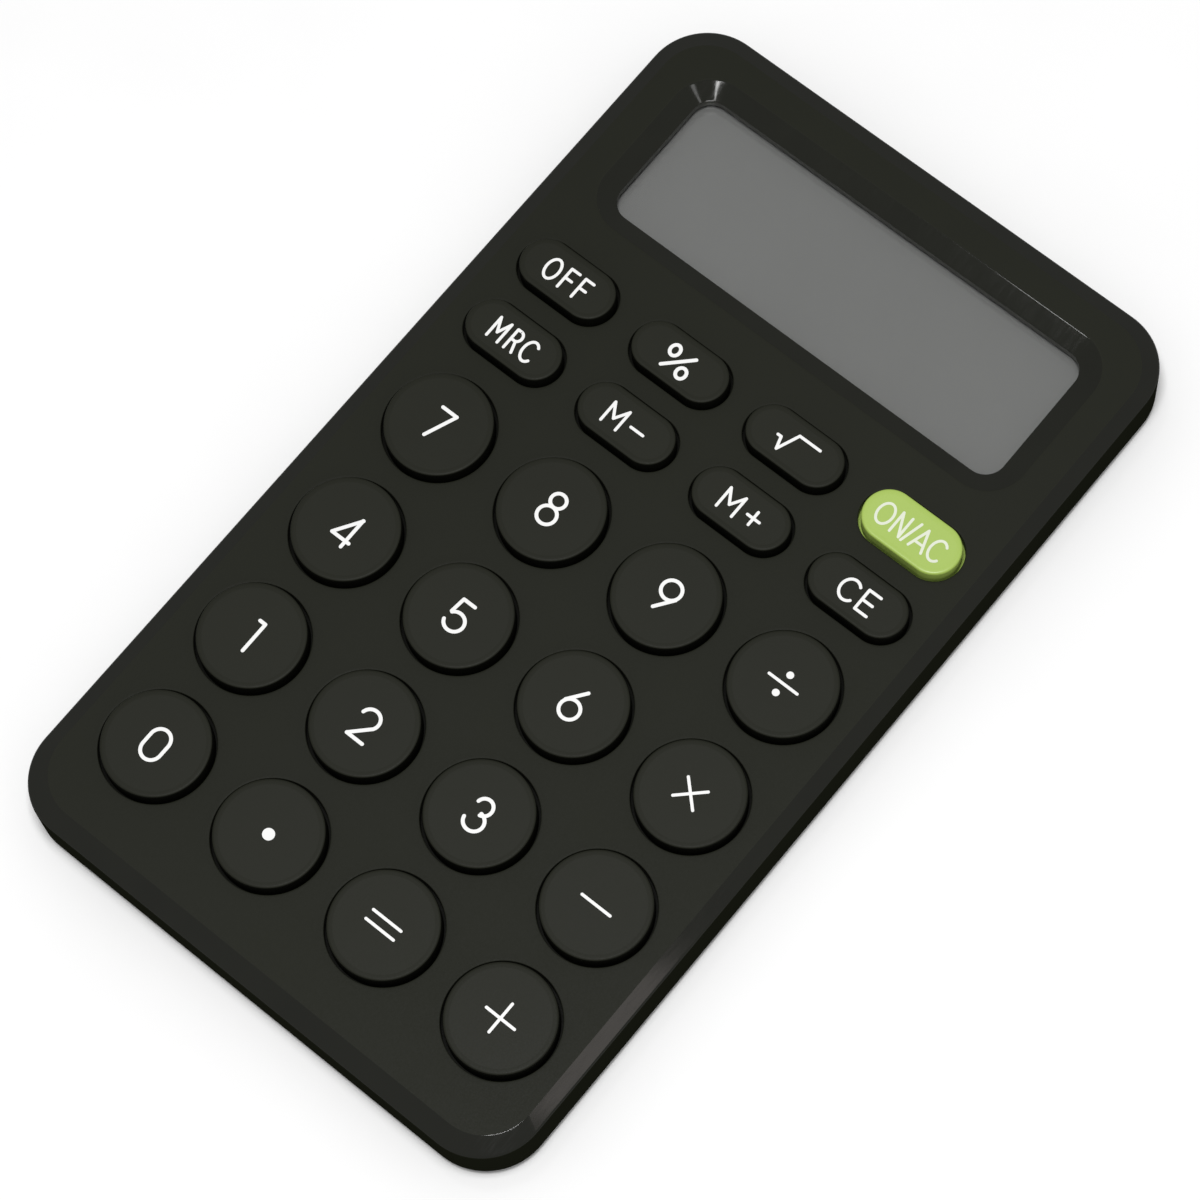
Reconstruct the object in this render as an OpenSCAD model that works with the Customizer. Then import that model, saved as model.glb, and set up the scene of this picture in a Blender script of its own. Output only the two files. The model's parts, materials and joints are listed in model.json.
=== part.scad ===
// Pocket calculator: two-part case, 24 separate sprung keys, display stack, board and coin cell.
// Millimetres. X points right, Y towards the display, Z out of the front face.
// The origin is under the middle of the case, on the surface that the feet stand on.

/* [Case] */
// Width of the case
case_w = 70; // [68:0.5:84]
// Length of the case
case_l = 120; // [117:0.5:144]
// Thickness of the case, from its back to its flat front face
case_t = 7.5; // [7.4:0.1:9]
// Corner radius of the outline
case_r = 7.5; // [6.5:0.1:9]
// Thickness of the front cover's side walls
wall_t = 1.6; // [1.2:0.05:1.95]
// Thickness of the front plate
plate_t = 1.5; // [1.2:0.05:1.8]
// Thickness of the rear cover's floor
floor_t = 1; // [0.8:0.05:1.2]
// Height of the line where the covers meet, above the back
split_h = 2.5; // [2.3:0.1:3]
// Chamfer around the back edge
back_chamfer = 0.8; // [0.4:0.1:0.9]

/* [Front bevel] */
// Width of the bevel along the two long sides
bevel_side = 1.8; // [1:0.1:2.4]
// Width of the bevel along the top end
bevel_top = 1.9; // [1:0.1:2.4]
// Width of the bevel along the bottom end
bevel_bottom = 2.4; // [1:0.1:3]
// How far the bevel falls
bevel_drop = 0.55; // [0.3:0.05:0.8]
// Corner radius of the flat face inside the bevel
face_r = 6; // [4:0.1:7]

/* [Display opening] */
// Width of the opening
view_w = 54.4; // [45:0.2:54.8]
// Length of the opening
view_l = 17.8; // [14:0.2:18.2]
// Corner radius of the opening
view_r = 2.5; // [1:0.1:4]
// Distance from the case's top end to the opening
view_from_top = 7.7; // [7.6:0.1:9]
// Width of the sloping edge at the sides and top
slope_w = 2.5; // [1.5:0.1:2.8]
// Width of the sloping edge at the bottom
slope_bottom = 2.1; // [1.5:0.1:2.6]
// Depth of the sloping edge
slope_drop = 0.6; // [0.3:0.05:0.8]
// Outer corner radius of the sloping edge
slope_r = 5; // [3:0.1:6]

/* [Display stack] */
// How far the window and the glass reach past the opening at each side
lap_side = 1.6; // [1.2:0.1:2]
// How far they reach past the opening at the top
lap_top = 1.1; // [0.8:0.1:1.3]
// How far they reach past the opening at the bottom
lap_bottom = 2.5; // [2.2:0.1:3]
// Thickness of the clear window
window_t = 0.7; // [0.5:0.05:0.8]
// Thickness of the tape that holds the window
tape_t = 0.1; // [0.05:0.05:0.15]
// Width of the tape
tape_w = 0.9; // [0.6:0.1:1]
// Thickness of each glass of the display
glass_t = 0.5; // [0.4:0.05:0.55]
// Thickness of the polariser and of the reflector
film_t = 0.15; // [0.1:0.05:0.2]
// How far the front glass stands past the rear glass, for the contacts
ledge_w = 1.9; // [1.7:0.1:2.1]
// Width of the rubber connector strip
strip_w = 1.4; // [1:0.1:1.5]

/* [Keys] */
// Diameter of a round key, and width of an oblong key
key_d = 12.4; // [10:0.1:12.6]
// Height of an oblong key
oblong_h = 6.2; // [5.6:0.1:6.6]
// Gap between keys side by side
gap_x = 3.9; // [3:0.1:4.1]
// Gap between round keys one above the other
gap_y = 3.43; // [2.9:0.01:3.6]
// Gap between the round keys and the oblong keys
band_gap = 3.7; // [3.2:0.1:4]
// Gap between the two rows of oblong keys
oblong_gap = 3.2; // [2.6:0.1:3.4]
// Distance from the case's bottom end to the middle of the lowest row
keys_from_bottom = 14.3; // [13.4:0.1:15]
// How far the keys stand out of the face
key_proud = 1.2; // [1:0.1:1.6]
// How far a key travels when pressed
key_travel = 0.9; // [0.6:0.1:1]
// Gap around a key in its hole
key_gap = 0.35; // [0.2:0.05:0.4]
// Rounding of a key's top edge
key_round = 0.3; // [0.1:0.05:0.5]
// Thickness of a key's top
key_roof = 1.2; // [0.8:0.1:1.4]
// Thickness of a key's wall
key_wall = 1; // [0.8:0.05:1.05]
// How far a key's flange reaches past its wall
flange_w = 0.65; // [0.6:0.05:0.8]
// Thickness of a key's flange
flange_t = 0.8; // [0.5:0.1:0.9]

/* [Keypad sheet] */
// Thickness of the sheet between the domes
sheet_t = 0.5; // [0.4:0.05:0.6]
// Base radius of a dome under a round key
dome_r = 4.6; // [3.6:0.1:4.8]
// Base radius of a dome under an oblong key
small_dome_r = 3.4; // [3.2:0.1:3.8]
// Thickness of a carbon contact
contact_t = 0.35; // [0.2:0.05:0.4]
// Radius of a carbon contact
contact_r = 1.6; // [1.2:0.1:1.7]

/* [Board] */
// Thickness of the circuit board
board_t = 1; // [0.8:0.1:1.1]
// Height of the board above the floor
board_rise = 1.2; // [1.15:0.05:1.3]

/* [Coin cell and door] */
// Diameter of the cell
cell_d = 20; // [16:0.1:20]
// Thickness of the cell
cell_t = 2.5; // [1.6:0.1:2.5]
// Place of the cell across the case
bay_x = 5; // [0:0.5:6]
// Thickness of the battery door
door_t = 0.9; // [0.8:0.05:0.9]
// Wall around the cell on the door
door_wall = 0.9; // [0.7:0.1:1]
// How far the door's lugs reach
lug_reach = 0.9; // [0.7:0.1:1]
// Width of each lug as an angle
lug_angle = 24; // [16:1:26]
// How far the door turns from locked to open
door_turn = 35; // [32:1:45]

/* [Screws and feet] */
// Distance of the corner screws from the sides
screw_from_side = 4.8; // [4.6:0.1:5]
// Distance of the corner screws from the ends
screw_from_end = 4.6; // [4.5:0.1:5]
// Radius of a screw post
post_r = 2.1; // [1.8:0.1:2.2]
// Radius of a screw's head
head_r = 1.6; // [1.4:0.1:1.7]
// Thickness of a screw's head
head_t = 0.9; // [0.7:0.05:0.9]
// Radius of a screw's thread
thread_r = 0.75; // [0.7:0.01:0.8]
// How far the feet stand out of the back
foot_proud = 0.5; // [0.3:0.1:0.8]
// Radius of a foot
foot_r = 3; // [2.4:0.1:3.4]
// Depth of a foot's seat
foot_seat = 0.3; // [0.2:0.05:0.4]
// Distance of the feet from the sides
foot_from_side = 8; // [7:0.5:9]
// Distance of the feet from the ends
foot_from_end = 13; // [12:0.5:15]

/* [Hidden] */
$fn = 64;
eps = 0.01;
// A cut runs this far past the face that it opens
cut = 1;

// Heights
back_z = foot_proud;
floor_z = back_z + floor_t;
split_z = back_z + split_h;
face_z = back_z + case_t;
bevel_z = face_z - bevel_drop;
plate_z = face_z - plate_t;
board_z = floor_z + board_rise;
board_top = board_z + board_t;
sheet_top = board_top + sheet_t;
flat_gap = 0.05;
flange_top = plate_z - flat_gap;
flange_z = flange_top - flange_t;
dome_top = flange_z - flat_gap;
key_top = face_z + key_proud;
contact_z = board_top + key_travel;
contact_top = contact_z + contact_t;

// Display stack, from the window down
window_top = plate_z - tape_t;
window_z = window_top - window_t;
air_gap = 0.1;
polariser_top = window_z - air_gap;
front_glass_top = polariser_top - film_t;
cell_z = back_z + door_t;
cell_top = cell_z + cell_t;
leaf_t = 0.2;
leaf_gap = 0.1;
// Each glass, thinned where the leaf contact over the cell leaves no room for it
pane_t = min(glass_t, (front_glass_top - film_t - leaf_gap - leaf_t - cell_top) / 2);
rear_glass_top = front_glass_top - pane_t;
reflector_top = rear_glass_top - pane_t;
display_z = reflector_top - film_t;

// Case and the lip where the covers meet
fit_gap = 0.05;
inner_w = case_w - 2 * wall_t;
inner_l = case_l - 2 * wall_t;
inner_r = case_r - wall_t;
lip_t = 0.7;
lip_h = 0.9;
lip_w = inner_w - 2 * fit_gap;
lip_l = inner_l - 2 * fit_gap;
lip_r = inner_r - fit_gap;
room_w = lip_w - 2 * lip_t;
room_l = lip_l - 2 * lip_t;
room_r = lip_r - lip_t;
face_w = case_w - 2 * bevel_side;
face_l = case_l - bevel_top - bevel_bottom;
face_y = (bevel_bottom - bevel_top) / 2;

// Display opening, and the pane size that the window and the glass share
view_top_y = case_l / 2 - view_from_top;
view_y = view_top_y - view_l / 2;
slope_y = view_y + (slope_w - slope_bottom) / 2;
pane_w = view_w + 2 * lap_side;
pane_top = view_top_y + lap_top;
pane_bottom = view_top_y - view_l - lap_bottom;
pane_l = pane_top - pane_bottom;
pane_y = (pane_top + pane_bottom) / 2;
pane_gap = 0.15;
frame_t = 0.9;
frame_h = 1.9;
film_inset = 0.5;

// Key grid
col_pitch = key_d + gap_x;
row_pitch = key_d + gap_y;
round_rows = 4;
first_row_y = keys_from_bottom - case_l / 2;
last_row_y = first_row_y + (round_rows - 1) * row_pitch;
band_y = last_row_y + key_d / 2 + band_gap / 2;
oblong_pitch = oblong_h + oblong_gap;
oblong_y = last_row_y + (key_d + oblong_h) / 2 + band_gap;
plunger_r = 2;
plunger_wall = 0.7;
core_r = 2.2;
dome_wall = 0.6;
cavity_top_r = 1.9;

DARK = [0.19, 0.19, 0.17];
GREEN = [0.69, 0.8, 0.41];

// Every key: name, column from 0 to 3, row from 0 at the bottom to 5, colour
KEYS = [
    ["key_0", 0, 0, DARK],
    ["key_point", 1, 0, DARK],
    ["key_equals", 2, 0, DARK],
    ["key_plus", 3, 0, DARK],
    ["key_1", 0, 1, DARK],
    ["key_2", 1, 1, DARK],
    ["key_3", 2, 1, DARK],
    ["key_minus", 3, 1, DARK],
    ["key_4", 0, 2, DARK],
    ["key_5", 1, 2, DARK],
    ["key_6", 2, 2, DARK],
    ["key_times", 3, 2, DARK],
    ["key_7", 0, 3, DARK],
    ["key_8", 1, 3, DARK],
    ["key_9", 2, 3, DARK],
    ["key_divide", 3, 3, DARK],
    ["key_memory_recall", 0, 4, DARK],
    ["key_memory_minus", 1, 4, DARK],
    ["key_memory_plus", 2, 4, DARK],
    ["key_clear_entry", 3, 4, DARK],
    ["key_off", 0, 5, DARK],
    ["key_percent", 1, 5, DARK],
    ["key_square_root", 2, 5, DARK],
    ["key_on", 3, 5, GREEN]
];

function is_round(k) = k[2] < round_rows;
function key_x(k) = (k[1] - 1.5) * col_pitch;
function key_y(k) =
    is_round(k) ? first_row_y + k[2] * row_pitch : oblong_y + (k[2] - round_rows) * oblong_pitch;
// Half the straight length of an oblong key, and 0 for a round one
function half_run(k) = is_round(k) ? 0 : (key_d - oblong_h) / 2;
function end_r(k) = is_round(k) ? key_d / 2 : oblong_h / 2;

// Places between the keys: screw posts at two of them, and ribs on the keypad sheet at the rest
gap_row_y = [for (i = [0 : round_rows - 2]) first_row_y + (i + 0.5) * row_pitch];
mid_screw_y = gap_row_y[round_rows - 2];
MID_SCREWS = [for (s = [-1, 1]) [s * col_pitch, mid_screw_y]];
CORNER_SCREWS = [
    for (sx = [-1, 1], sy = [-1, 1])
        [sx * (case_w / 2 - screw_from_side), sy * (case_l / 2 - screw_from_end)]
];
SCREWS = concat(CORNER_SCREWS, MID_SCREWS);
RIBS = concat(
    [for (i = [0 : round_rows - 3], c = [-1 : 1]) [c * col_pitch, gap_row_y[i]]],
    [[0, mid_screw_y]],
    [for (c = [-1 : 1]) [c * col_pitch, band_y]]
);
rib_r = 1.1;
support_r = 1.4;
boss_r = 3;
post_gap = 0.3;
pilot_r = 0.7;
pilot_end = 0.6;
screw_hole_r = 1;
head_gap = 0.4;
head_recess = 0.2;
head_z = back_z + head_recess;
head_top = head_z + head_t;
screw_end = 0.9;
cross_w = 0.4;
cross_l = 1.8;
cross_depth = 0.5;
FEET = [
    for (sx = [-1, 1], sy = [-1, 1])
        [sx * (case_w / 2 - foot_from_side), sy * (case_l / 2 - foot_from_end)]
];

// Coin cell and its turning door, from the cell outwards
cell_r = cell_d / 2;
turn_gap = 0.2;
bore_r = cell_r + turn_gap;
plug_r = bore_r + door_wall;
hole_r = plug_r + turn_gap;
lug_r = plug_r + lug_reach;
notch_r = lug_r + turn_gap;
door_r = notch_r + turn_gap;
seat_r = door_r + turn_gap;
collar_t = 1.4;
bay_y = room_l / 2 - seat_r;
door_lip_t = 0.6;
seat_z = back_z + door_lip_t + flat_gap;
ledge_t = 0.6;
ledge_top = seat_z + ledge_t;
lug_z = ledge_top + flat_gap;
lug_t = 0.6;
lug_top = lug_z + lug_t;
shelf_z = lug_top + flat_gap;
shelf_t = 0.2;
guide_gap = 0.3;
guide_r = cell_r + guide_gap;
guide_t = 0.9;
guide_start = -60;
guide_turn = 210;
notch_extra = 6;
lug_count = 3;
coin_slot_l = 14;
coin_slot_w = 2.2;
coin_slot_depth = 0.45;

// Board outline
board_gap = 0.35;
board_w = room_w - 2 * board_gap;
board_l = room_l - 2 * board_gap;
board_r = room_r - board_gap;
strip_room = 2.6;
board_edge_y = pane_bottom + strip_room;
arm_gap = 1.4;
arm_x = bay_x - cell_r - arm_gap;
arm_past = 0.6;
arm_top = pane_top + arm_past;

// Contacts
contact_foot_l = 3;
leaf_w = 5;
leaf_shift = 4;
leaf_y = bay_y + leaf_shift;
leaf_rise = 0.8;
leaf_past = 2;
side_contact_t = 0.25;
side_contact_w = 4;
side_contact_shift = 2.5;
side_contact_y = bay_y - side_contact_shift;

CELL_NODES = [
    "coin_cell",
    "negative_contact",
    "positive_contact",
    "battery_door"
];
DISPLAY_NODES = [
    "display_window",
    "window_tape",
    "front_polariser",
    "front_glass",
    "rear_glass",
    "reflector",
    "connector_strip",
    "foam_pad"
];
BOARD_NODES = [
    "circuit_board",
    "chip_cover",
    "chip_resistors",
    "chip_capacitors",
    "keypad_sheet",
    "carbon_contacts"
];

// ---------- shared shapes ----------

// A rectangle with true arcs at its corners
module rounded_rect(w, l, r) {
    square([w - 2 * r, l], center = true);
    square([w, l - 2 * r], center = true);
    for (sx = [-1, 1], sy = [-1, 1])
        translate([sx * (w / 2 - r), sy * (l / 2 - r)])
            circle(r);
}

// A rounded slab between two heights
module slab(w, l, r, z0, z1) {
    translate([0, 0, z0])
        linear_extrude(z1 - z0)
            rounded_rect(w, l, r);
}

// A slab with square corners, from one Y to another and between two heights
module pane(w, y0, y1, z0, z1) {
    translate([-w / 2, y0, z0])
        cube([w, y1 - y0, z1 - z0]);
}

// A round bar between two heights
module bar(r, z0, z1) {
    translate([0, 0, z0])
        cylinder(r = r, h = z1 - z0);
}

// A ring, or part of one, between two radii and two heights
module ring(r0, r1, z0, z1, turn = 360) {
    rotate_extrude(angle = turn)
        translate([r0, z0])
            square([r1 - r0, z1 - z0]);
}

// A round or oblong pillar on a key's centre, larger than the key by grow
module key_pillar(k, grow, z0, z1) {
    translate([key_x(k), key_y(k), 0]) {
        for (s = is_round(k) ? [0] : [-1, 1])
            translate([s * half_run(k), 0, 0])
                bar(end_r(k) + grow, z0, z1);
        if (!is_round(k))
            translate([-half_run(k), -end_r(k) - grow, z0])
                cube([2 * half_run(k), 2 * (end_r(k) + grow), z1 - z0]);
    }
}

// ---------- case ----------

// The front cover's outer form: upright sides, then the shallow bevel up to the face
module front_form() {
    slab(case_w, case_l, case_r, split_z, bevel_z);
    hull() {
        slab(case_w, case_l, case_r, bevel_z, bevel_z + eps);
        translate([0, face_y, 0])
            slab(face_w, face_l, face_r, face_z - eps, face_z);
    }
}

// The display opening with its sloping edge
module display_cut() {
    hull() {
        translate([0, slope_y, 0])
            slab(view_w + 2 * slope_w, view_l + slope_w + slope_bottom, slope_r, face_z, face_z + eps);
        translate([0, view_y, 0])
            slab(view_w, view_l, view_r, face_z - slope_drop, face_z - slope_drop + eps);
    }
    translate([0, view_y, 0])
        slab(view_w, view_l, view_r, plate_z - cut, face_z - slope_drop + eps / 2);
}

// The rib that frames the window and the display glass
module display_frame() {
    difference() {
        pane(
            pane_w + 2 * (pane_gap + frame_t),
            pane_bottom - pane_gap - frame_t,
            pane_top + pane_gap + frame_t,
            plate_z - frame_h,
            plate_z + eps
        );
        pane(
            pane_w + 2 * pane_gap,
            pane_bottom - pane_gap,
            pane_top + pane_gap,
            plate_z - frame_h - cut,
            plate_z + cut
        );
    }
}

module front_cover() {
    color(DARK)
        difference() {
            union() {
                difference() {
                    front_form();
                    slab(inner_w, inner_l, inner_r, split_z - cut, plate_z);
                }
                display_frame();
                for (p = SCREWS)
                    translate(p)
                        bar(post_r, board_z, plate_z + eps);
                for (p = RIBS)
                    translate(p)
                        bar(rib_r, sheet_top, plate_z + eps);
            }
            display_cut();
            for (k = KEYS)
                key_pillar(k, key_gap, plate_z - cut, face_z + cut);
            for (p = SCREWS)
                translate(p)
                    bar(pilot_r, board_z - cut, plate_z - pilot_end);
        }
}

// The rear cover's outer form, with a chamfer around its back edge made of cones and prisms
module rear_form() {
    slab(case_w, case_l, case_r, back_z + back_chamfer, split_z);
    for (sx = [-1, 1], sy = [-1, 1])
        translate([sx * (case_w / 2 - case_r), sy * (case_l / 2 - case_r), back_z])
            cylinder(r1 = case_r - back_chamfer, r2 = case_r, h = back_chamfer);
    chamfered_bar(case_w, case_l - 2 * case_r);
    rotate([0, 0, 90])
        chamfered_bar(case_l, case_w - 2 * case_r);
}

// A bar across the case, chamfered at both ends of its width
module chamfered_bar(w, l) {
    translate([0, l / 2, back_z])
        rotate([90, 0, 0])
            linear_extrude(l)
                polygon([
                    [back_chamfer - w / 2, 0],
                    [w / 2 - back_chamfer, 0],
                    [w / 2, back_chamfer],
                    [-w / 2, back_chamfer]
                ]);
}

// The collar that the battery door turns in, with the shelf and the guide around the cell
module door_collar() {
    bar(seat_r + collar_t, back_z, ledge_top);
    ring(notch_r + turn_gap, notch_r + turn_gap + guide_t, ledge_top - eps, shelf_z + eps);
    ring(guide_r, notch_r + turn_gap + guide_t, shelf_z, shelf_z + shelf_t);
    rotate([0, 0, guide_start])
        ring(guide_r, guide_r + guide_t, shelf_z, board_top, guide_turn);
}

// What the collar is cut by: the seat, the hole and the notches that let the lugs through
module door_cut() {
    bar(seat_r, back_z - cut, seat_z);
    bar(hole_r, back_z, ledge_top + cut / 4);
    for (i = [0 : lug_count - 1])
        rotate([0, 0, 90 + i * 360 / lug_count - door_turn - (lug_angle + notch_extra) / 2])
            ring(hole_r - lug_reach, notch_r, seat_z - eps, ledge_top + eps, lug_angle + notch_extra);
}

module rear_cover() {
    color(DARK)
        difference() {
            union() {
                difference() {
                    union() {
                        rear_form();
                        slab(lip_w, lip_l, lip_r, floor_z, split_z + lip_h);
                    }
                    slab(room_w, room_l, room_r, floor_z, split_z + lip_h + cut);
                    for (p = CORNER_SCREWS)
                        translate(p)
                            bar(post_r + post_gap, board_z, split_z + lip_h + cut);
                }
                for (p = SCREWS)
                    translate(p)
                        bar(boss_r, back_z + back_chamfer, board_z);
                for (p = RIBS)
                    translate(p)
                        bar(support_r, floor_z - eps, board_z);
                translate([bay_x, bay_y, 0])
                    door_collar();
            }
            translate([bay_x, bay_y, 0])
                door_cut();
            for (p = SCREWS)
                translate(p) {
                    bar(head_r + head_gap, back_z - cut, head_top);
                    bar(screw_hole_r, back_z, board_z + cut);
                }
            for (p = FEET)
                translate(p)
                    bar(foot_r + fit_gap, back_z - cut, back_z + foot_seat);
        }
}

module case_screws() {
    color("silver")
        for (p = SCREWS)
            translate(p)
                difference() {
                    union() {
                        bar(head_r, head_z, head_top);
                        bar(thread_r, head_top - eps, plate_z - screw_end);
                    }
                    for (a = [0, 90])
                        rotate([0, 0, a])
                            translate([-cross_l / 2, -cross_w / 2, head_z - cut])
                                cube([cross_l, cross_w, cut + cross_depth]);
                }
}

module rubber_feet() {
    color([0.1, 0.1, 0.1])
        for (p = FEET)
            translate(p)
                bar(foot_r, 0, back_z + foot_seat);
}

// ---------- display ----------

module display_window() {
    color([0.8, 0.85, 0.85, 0.3])
        pane(pane_w, pane_bottom, pane_top, window_z, window_top);
}

module window_tape() {
    color([0.12, 0.12, 0.12])
        difference() {
            pane(pane_w, pane_bottom, pane_top, window_top, plate_z);
            pane(
                pane_w - 2 * tape_w,
                pane_bottom + tape_w,
                pane_top - tape_w,
                window_top - cut,
                plate_z + cut
            );
        }
}

module front_polariser() {
    color([0.45, 0.45, 0.45])
        pane(
            pane_w - 2 * film_inset,
            pane_bottom + ledge_w - film_inset,
            pane_top - film_inset,
            front_glass_top,
            polariser_top
        );
}

module front_glass() {
    color([0.6, 0.65, 0.62, 0.6])
        pane(pane_w, pane_bottom, pane_top, rear_glass_top, front_glass_top);
}

module rear_glass() {
    color([0.6, 0.65, 0.62, 0.6])
        pane(pane_w, pane_bottom + ledge_w, pane_top, reflector_top, rear_glass_top);
}

module reflector() {
    color([0.7, 0.7, 0.7])
        pane(
            pane_w - 2 * film_inset,
            pane_bottom + ledge_w + film_inset,
            pane_top - film_inset,
            display_z,
            reflector_top
        );
}

// The rubber strip that joins the board's pads to the ledge of the front glass
module connector_strip() {
    color([0.85, 0.55, 0.6])
        pane(
            pane_w - 4 * ledge_w,
            pane_bottom + film_inset / 2,
            pane_bottom + film_inset / 2 + strip_w,
            board_top,
            rear_glass_top
        );
}

// The foam that presses the display forward off the board's arm
module foam_pad() {
    foam_edge = 3;
    color([0.25, 0.25, 0.25])
        translate([foam_edge - pane_w / 2, board_edge_y + foam_edge, board_top])
            cube([
                arm_x + pane_w / 2 - 3 * foam_edge,
                pane_top - board_edge_y - 2 * foam_edge,
                display_z - board_top
            ]);
}

// ---------- board and keypad ----------

module board_outline() {
    difference() {
        intersection() {
            rounded_rect(board_w, board_l, board_r);
            union() {
                translate([-case_w / 2, -case_l / 2])
                    square([case_w, case_l / 2 + board_edge_y]);
                translate([-case_w / 2, -case_l / 2])
                    square([case_w / 2 + arm_x, case_l / 2 + arm_top]);
            }
        }
        for (p = SCREWS)
            translate(p)
                circle(post_r + post_gap);
        translate([bay_x, bay_y])
            circle(cell_r + board_gap);
    }
}

module circuit_board() {
    color([0.13, 0.4, 0.22])
        translate([0, 0, board_z])
            linear_extrude(board_t)
                board_outline();
}

// The drop of black resin over the bare chip, under the board
module chip_cover() {
    drop_r = 5;
    drop_h = 0.9;
    ball_r = (drop_r * drop_r + drop_h * drop_h) / (2 * drop_h);
    color([0.06, 0.06, 0.06])
        translate([col_pitch / 2, first_row_y + 2 * row_pitch, board_z - drop_h])
            rotate_extrude()
                intersection() {
                    translate([0, ball_r])
                        circle(ball_r, $fn = 256);
                    square([ball_r, drop_h]);
                }
}

// A row of chip parts under the board, rows above the middle of the lowest keys
module chip_row(count, rows, part_t) {
    row_step = 3.5;
    part_w = 1.25;
    part_l = 2;
    for (i = [0 : count - 1])
        translate([col_pitch + i * row_step, first_row_y + rows * row_pitch, board_z - part_t])
            cube([part_w, part_l, part_t]);
}

module chip_resistors() {
    color([0.08, 0.08, 0.1])
        chip_row(count = 2, rows = 1.8, part_t = 0.5);
}

module chip_capacitors() {
    color([0.72, 0.6, 0.45])
        chip_row(count = 3, rows = 2.1, part_t = 0.8);
}

// One dome: a thin cone with a solid core that the key's plunger rests on
module dome(base_r) {
    bar(core_r, contact_top - eps, dome_top);
    translate([0, 0, sheet_top - eps])
        cylinder(r1 = base_r, r2 = core_r, h = contact_top - sheet_top + dome_wall / 2);
}

// The hollow under a dome
module dome_hollow(base_r) {
    bar(base_r - dome_wall, board_top - cut, sheet_top);
    translate([0, 0, sheet_top - eps])
        cylinder(r1 = base_r - dome_wall, r2 = cavity_top_r, h = contact_top - sheet_top + eps);
}

function dome_base(k) = is_round(k) ? dome_r : small_dome_r;

module keypad_sheet() {
    sheet_edge = 1.2;
    sheet_w = room_w - sheet_edge;
    sheet_y0 = sheet_edge - room_l / 2;
    sheet_y1 = oblong_y + oblong_pitch + oblong_h / 2 + sheet_past;
    sheet_r = 3;
    sheet_past = 2;
    color([0.75, 0.75, 0.73])
        difference() {
            union() {
                translate([0, (sheet_y0 + sheet_y1) / 2, 0])
                    slab(sheet_w, sheet_y1 - sheet_y0, sheet_r, board_top, sheet_top);
                for (k = KEYS)
                    translate([key_x(k), key_y(k), 0])
                        dome(dome_base(k));
            }
            for (k = KEYS)
                translate([key_x(k), key_y(k), 0])
                    dome_hollow(dome_base(k));
            for (p = SCREWS)
                translate(p)
                    bar(post_r + post_gap, board_top - cut, sheet_top + cut);
        }
}

module carbon_contacts() {
    color([0.05, 0.05, 0.05])
        for (k = KEYS)
            translate([key_x(k), key_y(k), 0])
                bar(contact_r, contact_z, contact_top);
}

// Half of a key's section: hollow body, rounded top edge and the flange that keeps it in
module key_section(r) {
    difference() {
        union() {
            translate([0, flange_z])
                square([r, key_top - key_round - flange_z]);
            translate([0, flange_z])
                square([r - key_round, key_top - flange_z]);
            translate([r - key_round, key_top - key_round])
                circle(key_round);
            translate([0, flange_z])
                square([r + flange_w, flange_t]);
        }
        translate([-cut, flange_z - cut])
            square([r - key_wall + cut, key_top - key_roof - flange_z + cut]);
    }
}

module keycap(k) {
    r = end_r(k);
    run = half_run(k);
    color(k[3])
        translate([key_x(k), key_y(k), 0]) {
            if (is_round(k))
                rotate_extrude()
                    key_section(r);
            else
                oblong_shell(r, run);
            ring(plunger_r - plunger_wall, plunger_r, flange_z, key_top - key_roof + eps);
        }
}

// An oblong key: the section turned half round at each end, and straight between them
module oblong_shell(r, run) {
    for (s = [-1, 1])
        translate([s * run, 0, 0])
            rotate([0, 0, -90 * s])
                rotate_extrude(angle = 180)
                    key_section(r);
    for (m = [0, 1])
        mirror([0, m, 0])
            translate([-run, 0, 0])
                rotate([90, 0, 90])
                    linear_extrude(2 * run)
                        key_section(r);
}

// ---------- coin cell ----------

module coin_cell() {
    can_edge = 0.3;
    lid_inset = 1.2;
    lid_r = cell_r - lid_inset;
    color("silver")
        translate([bay_x, bay_y, 0]) {
            bar(cell_r - can_edge, cell_z, cell_z + can_edge);
            bar(cell_r, cell_z + can_edge - eps, cell_top - can_edge);
            bar(lid_r, cell_top - can_edge - eps, cell_top);
        }
}

// The leaf that rests on the cell's inner face and steps down to the board's arm
module negative_contact() {
    step_x = arm_x + leaf_rise;
    color([0.8, 0.78, 0.7])
        translate([0, leaf_y + leaf_w / 2, 0])
            rotate([90, 0, 0])
                linear_extrude(leaf_w)
                    polygon([
                        [arm_x - contact_foot_l, board_top],
                        [arm_x - eps, board_top],
                        [step_x, cell_top],
                        [bay_x + leaf_past, cell_top],
                        [bay_x + leaf_past, cell_top + leaf_t],
                        [step_x - leaf_t, cell_top + leaf_t],
                        [arm_x - leaf_t, board_top + leaf_t],
                        [arm_x - contact_foot_l, board_top + leaf_t]
                    ]);
}

// The spring plate beside the cell's rim, bent over onto the board's arm
module positive_contact() {
    plate_x = bay_x - cell_r - side_contact_t;
    color([0.8, 0.78, 0.7])
        translate([0, side_contact_y - side_contact_w / 2, 0]) {
            translate([plate_x, 0, board_z + flat_gap])
                cube([side_contact_t, side_contact_w, board_t - flat_gap + side_contact_t]);
            translate([arm_x - contact_foot_l, 0, board_top])
                cube([plate_x - arm_x + contact_foot_l + side_contact_t, side_contact_w, side_contact_t]);
        }
}

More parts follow.
